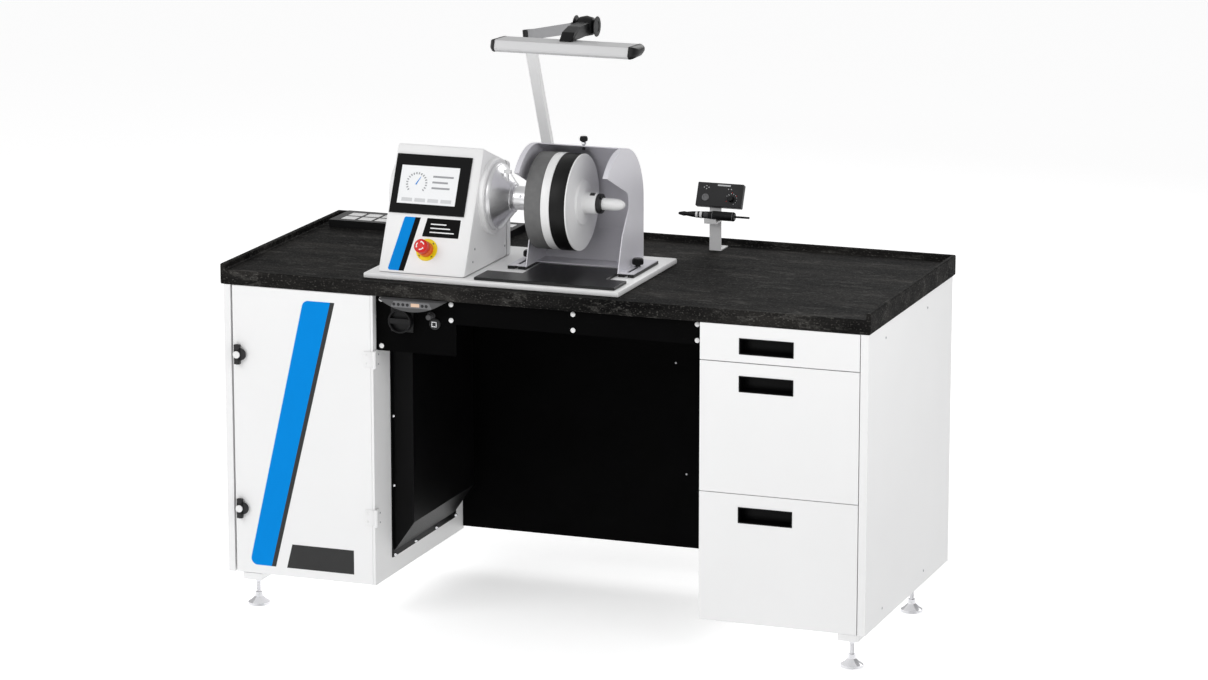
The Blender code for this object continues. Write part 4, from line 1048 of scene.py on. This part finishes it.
def handpiece_trim():
    """White rings, grip grooves and the collet of the handpiece."""
    middle = middle_of("handpiece")
    along = local_frame((0, middle.y, middle.z), (0, 1, 0), (0, 0, 1))
    bm = bmesh.new()
    for near, far in ((0.2046, 0.2112), (0.216, 0.2234)):
        radius = 0.0087 + (near - 0.2046) * 0.05
        add_turned(bm, [(radius - 0.001, near), (radius + 0.0004, near + 0.0003),
                        (radius + 0.0007, far - 0.0003), (radius - 0.0008, far)], along, 40)
    piece("handpiece_rings", bm, "drill_handpiece", "white_plastic")
    bm = bmesh.new()
    for step in range(6):
        height = 0.229 + step * 0.0032
        add_turned(bm, [(0.0088, height), (0.0101, height + 0.0007), (0.0101, height + 0.0016),
                        (0.0088, height + 0.0022)], along, 32)
    for height in (0.253, 0.31):
        add_turned(bm, [(0.0118, height - 0.001), (0.0128, height - 0.0006), (0.0128, height + 0.0006),
                        (0.0118, height + 0.001)], along, 32)
    piece("handpiece_grip", bm, "drill_handpiece", "mid_plastic")
    turned_piece("handpiece_collet", "drill_handpiece", "steel",
                 [(0, 0.1545), (0.0026, 0.155), (0.0034, 0.1562), (0.003, 0.158), (0, 0.158)], along, 24)


def stand_trim():
    """Screws of the bent stand."""
    x = middle_of("micromotor_stand").x
    bm = bmesh.new()
    for y in (0.318, 0.342):
        screw_head(bm, facing((x, y, 0.9262), (0, 0, 1)), 0.0045, 0.002)
    piece("stand_screws", bm, BENCH, "steel")


# ------------ light and camera
def lay_floor():
    """A large pale floor that glows a little, so that it stays near white in the distance."""
    bm = bmesh.new()
    bmesh.ops.create_grid(bm, x_segments=1, y_segments=1, size=60.0)
    mesh = bpy.data.meshes.new("floor")
    bm.to_mesh(mesh)
    bm.free()
    floor = bpy.data.objects.new("floor", mesh)
    bpy.context.scene.collection.objects.link(floor)
    paper = finish_material("floor_paper", (0.93, 0.93, 0.93), 0.9, vary=0.004, cloud=0.5, relief=0.0,
                            specular=0.1)
    shader = paper.node_tree.nodes["Principled BSDF"]
    fill(shader, {"Emission Color": (1.0, 1.0, 1.0, 1.0), "Emission Strength": 0.46})
    floor.data.materials.append(paper)


def light_studio():
    """Soft boxes, and surroundings that grow darker towards the bench's right-hand side."""
    soft_box("key", (-2.6, -3.6, 3.4), (0.0, 0.0, 0.8), (3.0, 2.4), 62.0)
    soft_box("machine", (1.9, -1.3, 1.9), (-0.1, -0.12, 1.1), (1.6, 1.6), 4.0, radians(80))
    soft_box("rear", (0.8, 4.2, 3.6), (0.0, 0.0, 0.9), (3.6, 2.0), 60.0)
    world = bpy.data.worlds.new("studio")
    bpy.context.scene.world = world
    world.use_nodes = True
    tree = world.node_tree
    where = tree.nodes.new("ShaderNodeTexCoord")
    parts = tree.nodes.new("ShaderNodeSeparateXYZ")
    tree.links.new(where.outputs["Generated"], parts.inputs["Vector"])
    shade = ramp(tree, parts.outputs["X"], [(0.0, (1.0, 1.0, 1.0)), (0.9, (0.45, 0.45, 0.46))])
    background = fill(tree.nodes["Background"], {"Strength": 0.62})
    tree.links.new(shade, background.inputs["Color"])


def place_camera():
    """A long lens that looks down on the bench from its right-hand front."""
    camera = bpy.data.cameras.new("camera")
    camera.sensor_width = 36.0
    camera.lens = 132.85
    camera.clip_end = 200.0
    holder = bpy.data.objects.new("camera", camera)
    bpy.context.scene.collection.objects.link(holder)
    holder.location = (4.0589, -10.8894, 3.3655)
    holder.rotation_euler = (radians(90 - 12.83), 0.0, radians(20.2536))
    bpy.context.scene.camera = holder
    bpy.context.scene.view_settings.view_transform = "Standard"


def soft_box(name, location, target, size, power, spread=pi):
    """A large area light that looks at a point."""
    light = bpy.data.lights.new(name, "AREA")
    light.shape = "RECTANGLE"
    light.size, light.size_y = size
    light.energy = power
    light.spread = spread
    holder = bpy.data.objects.new(name, light)
    bpy.context.scene.collection.objects.link(holder)
    holder.location = location
    aim = Vector(target) - Vector(location)
    holder.rotation_euler = aim.to_track_quat("-Z", "Y").to_euler()


# ------------ build
paint_nodes()
smooth_nodes()
door_trim()
drawer_trim()
desk_trim()
control_trim()
tray_trim()
screen_trim()
housing_trim()
spindle_trim()
hood_trim()
lamp_trim()
micromotor_trim()
lay_floor()
light_studio()
place_camera()
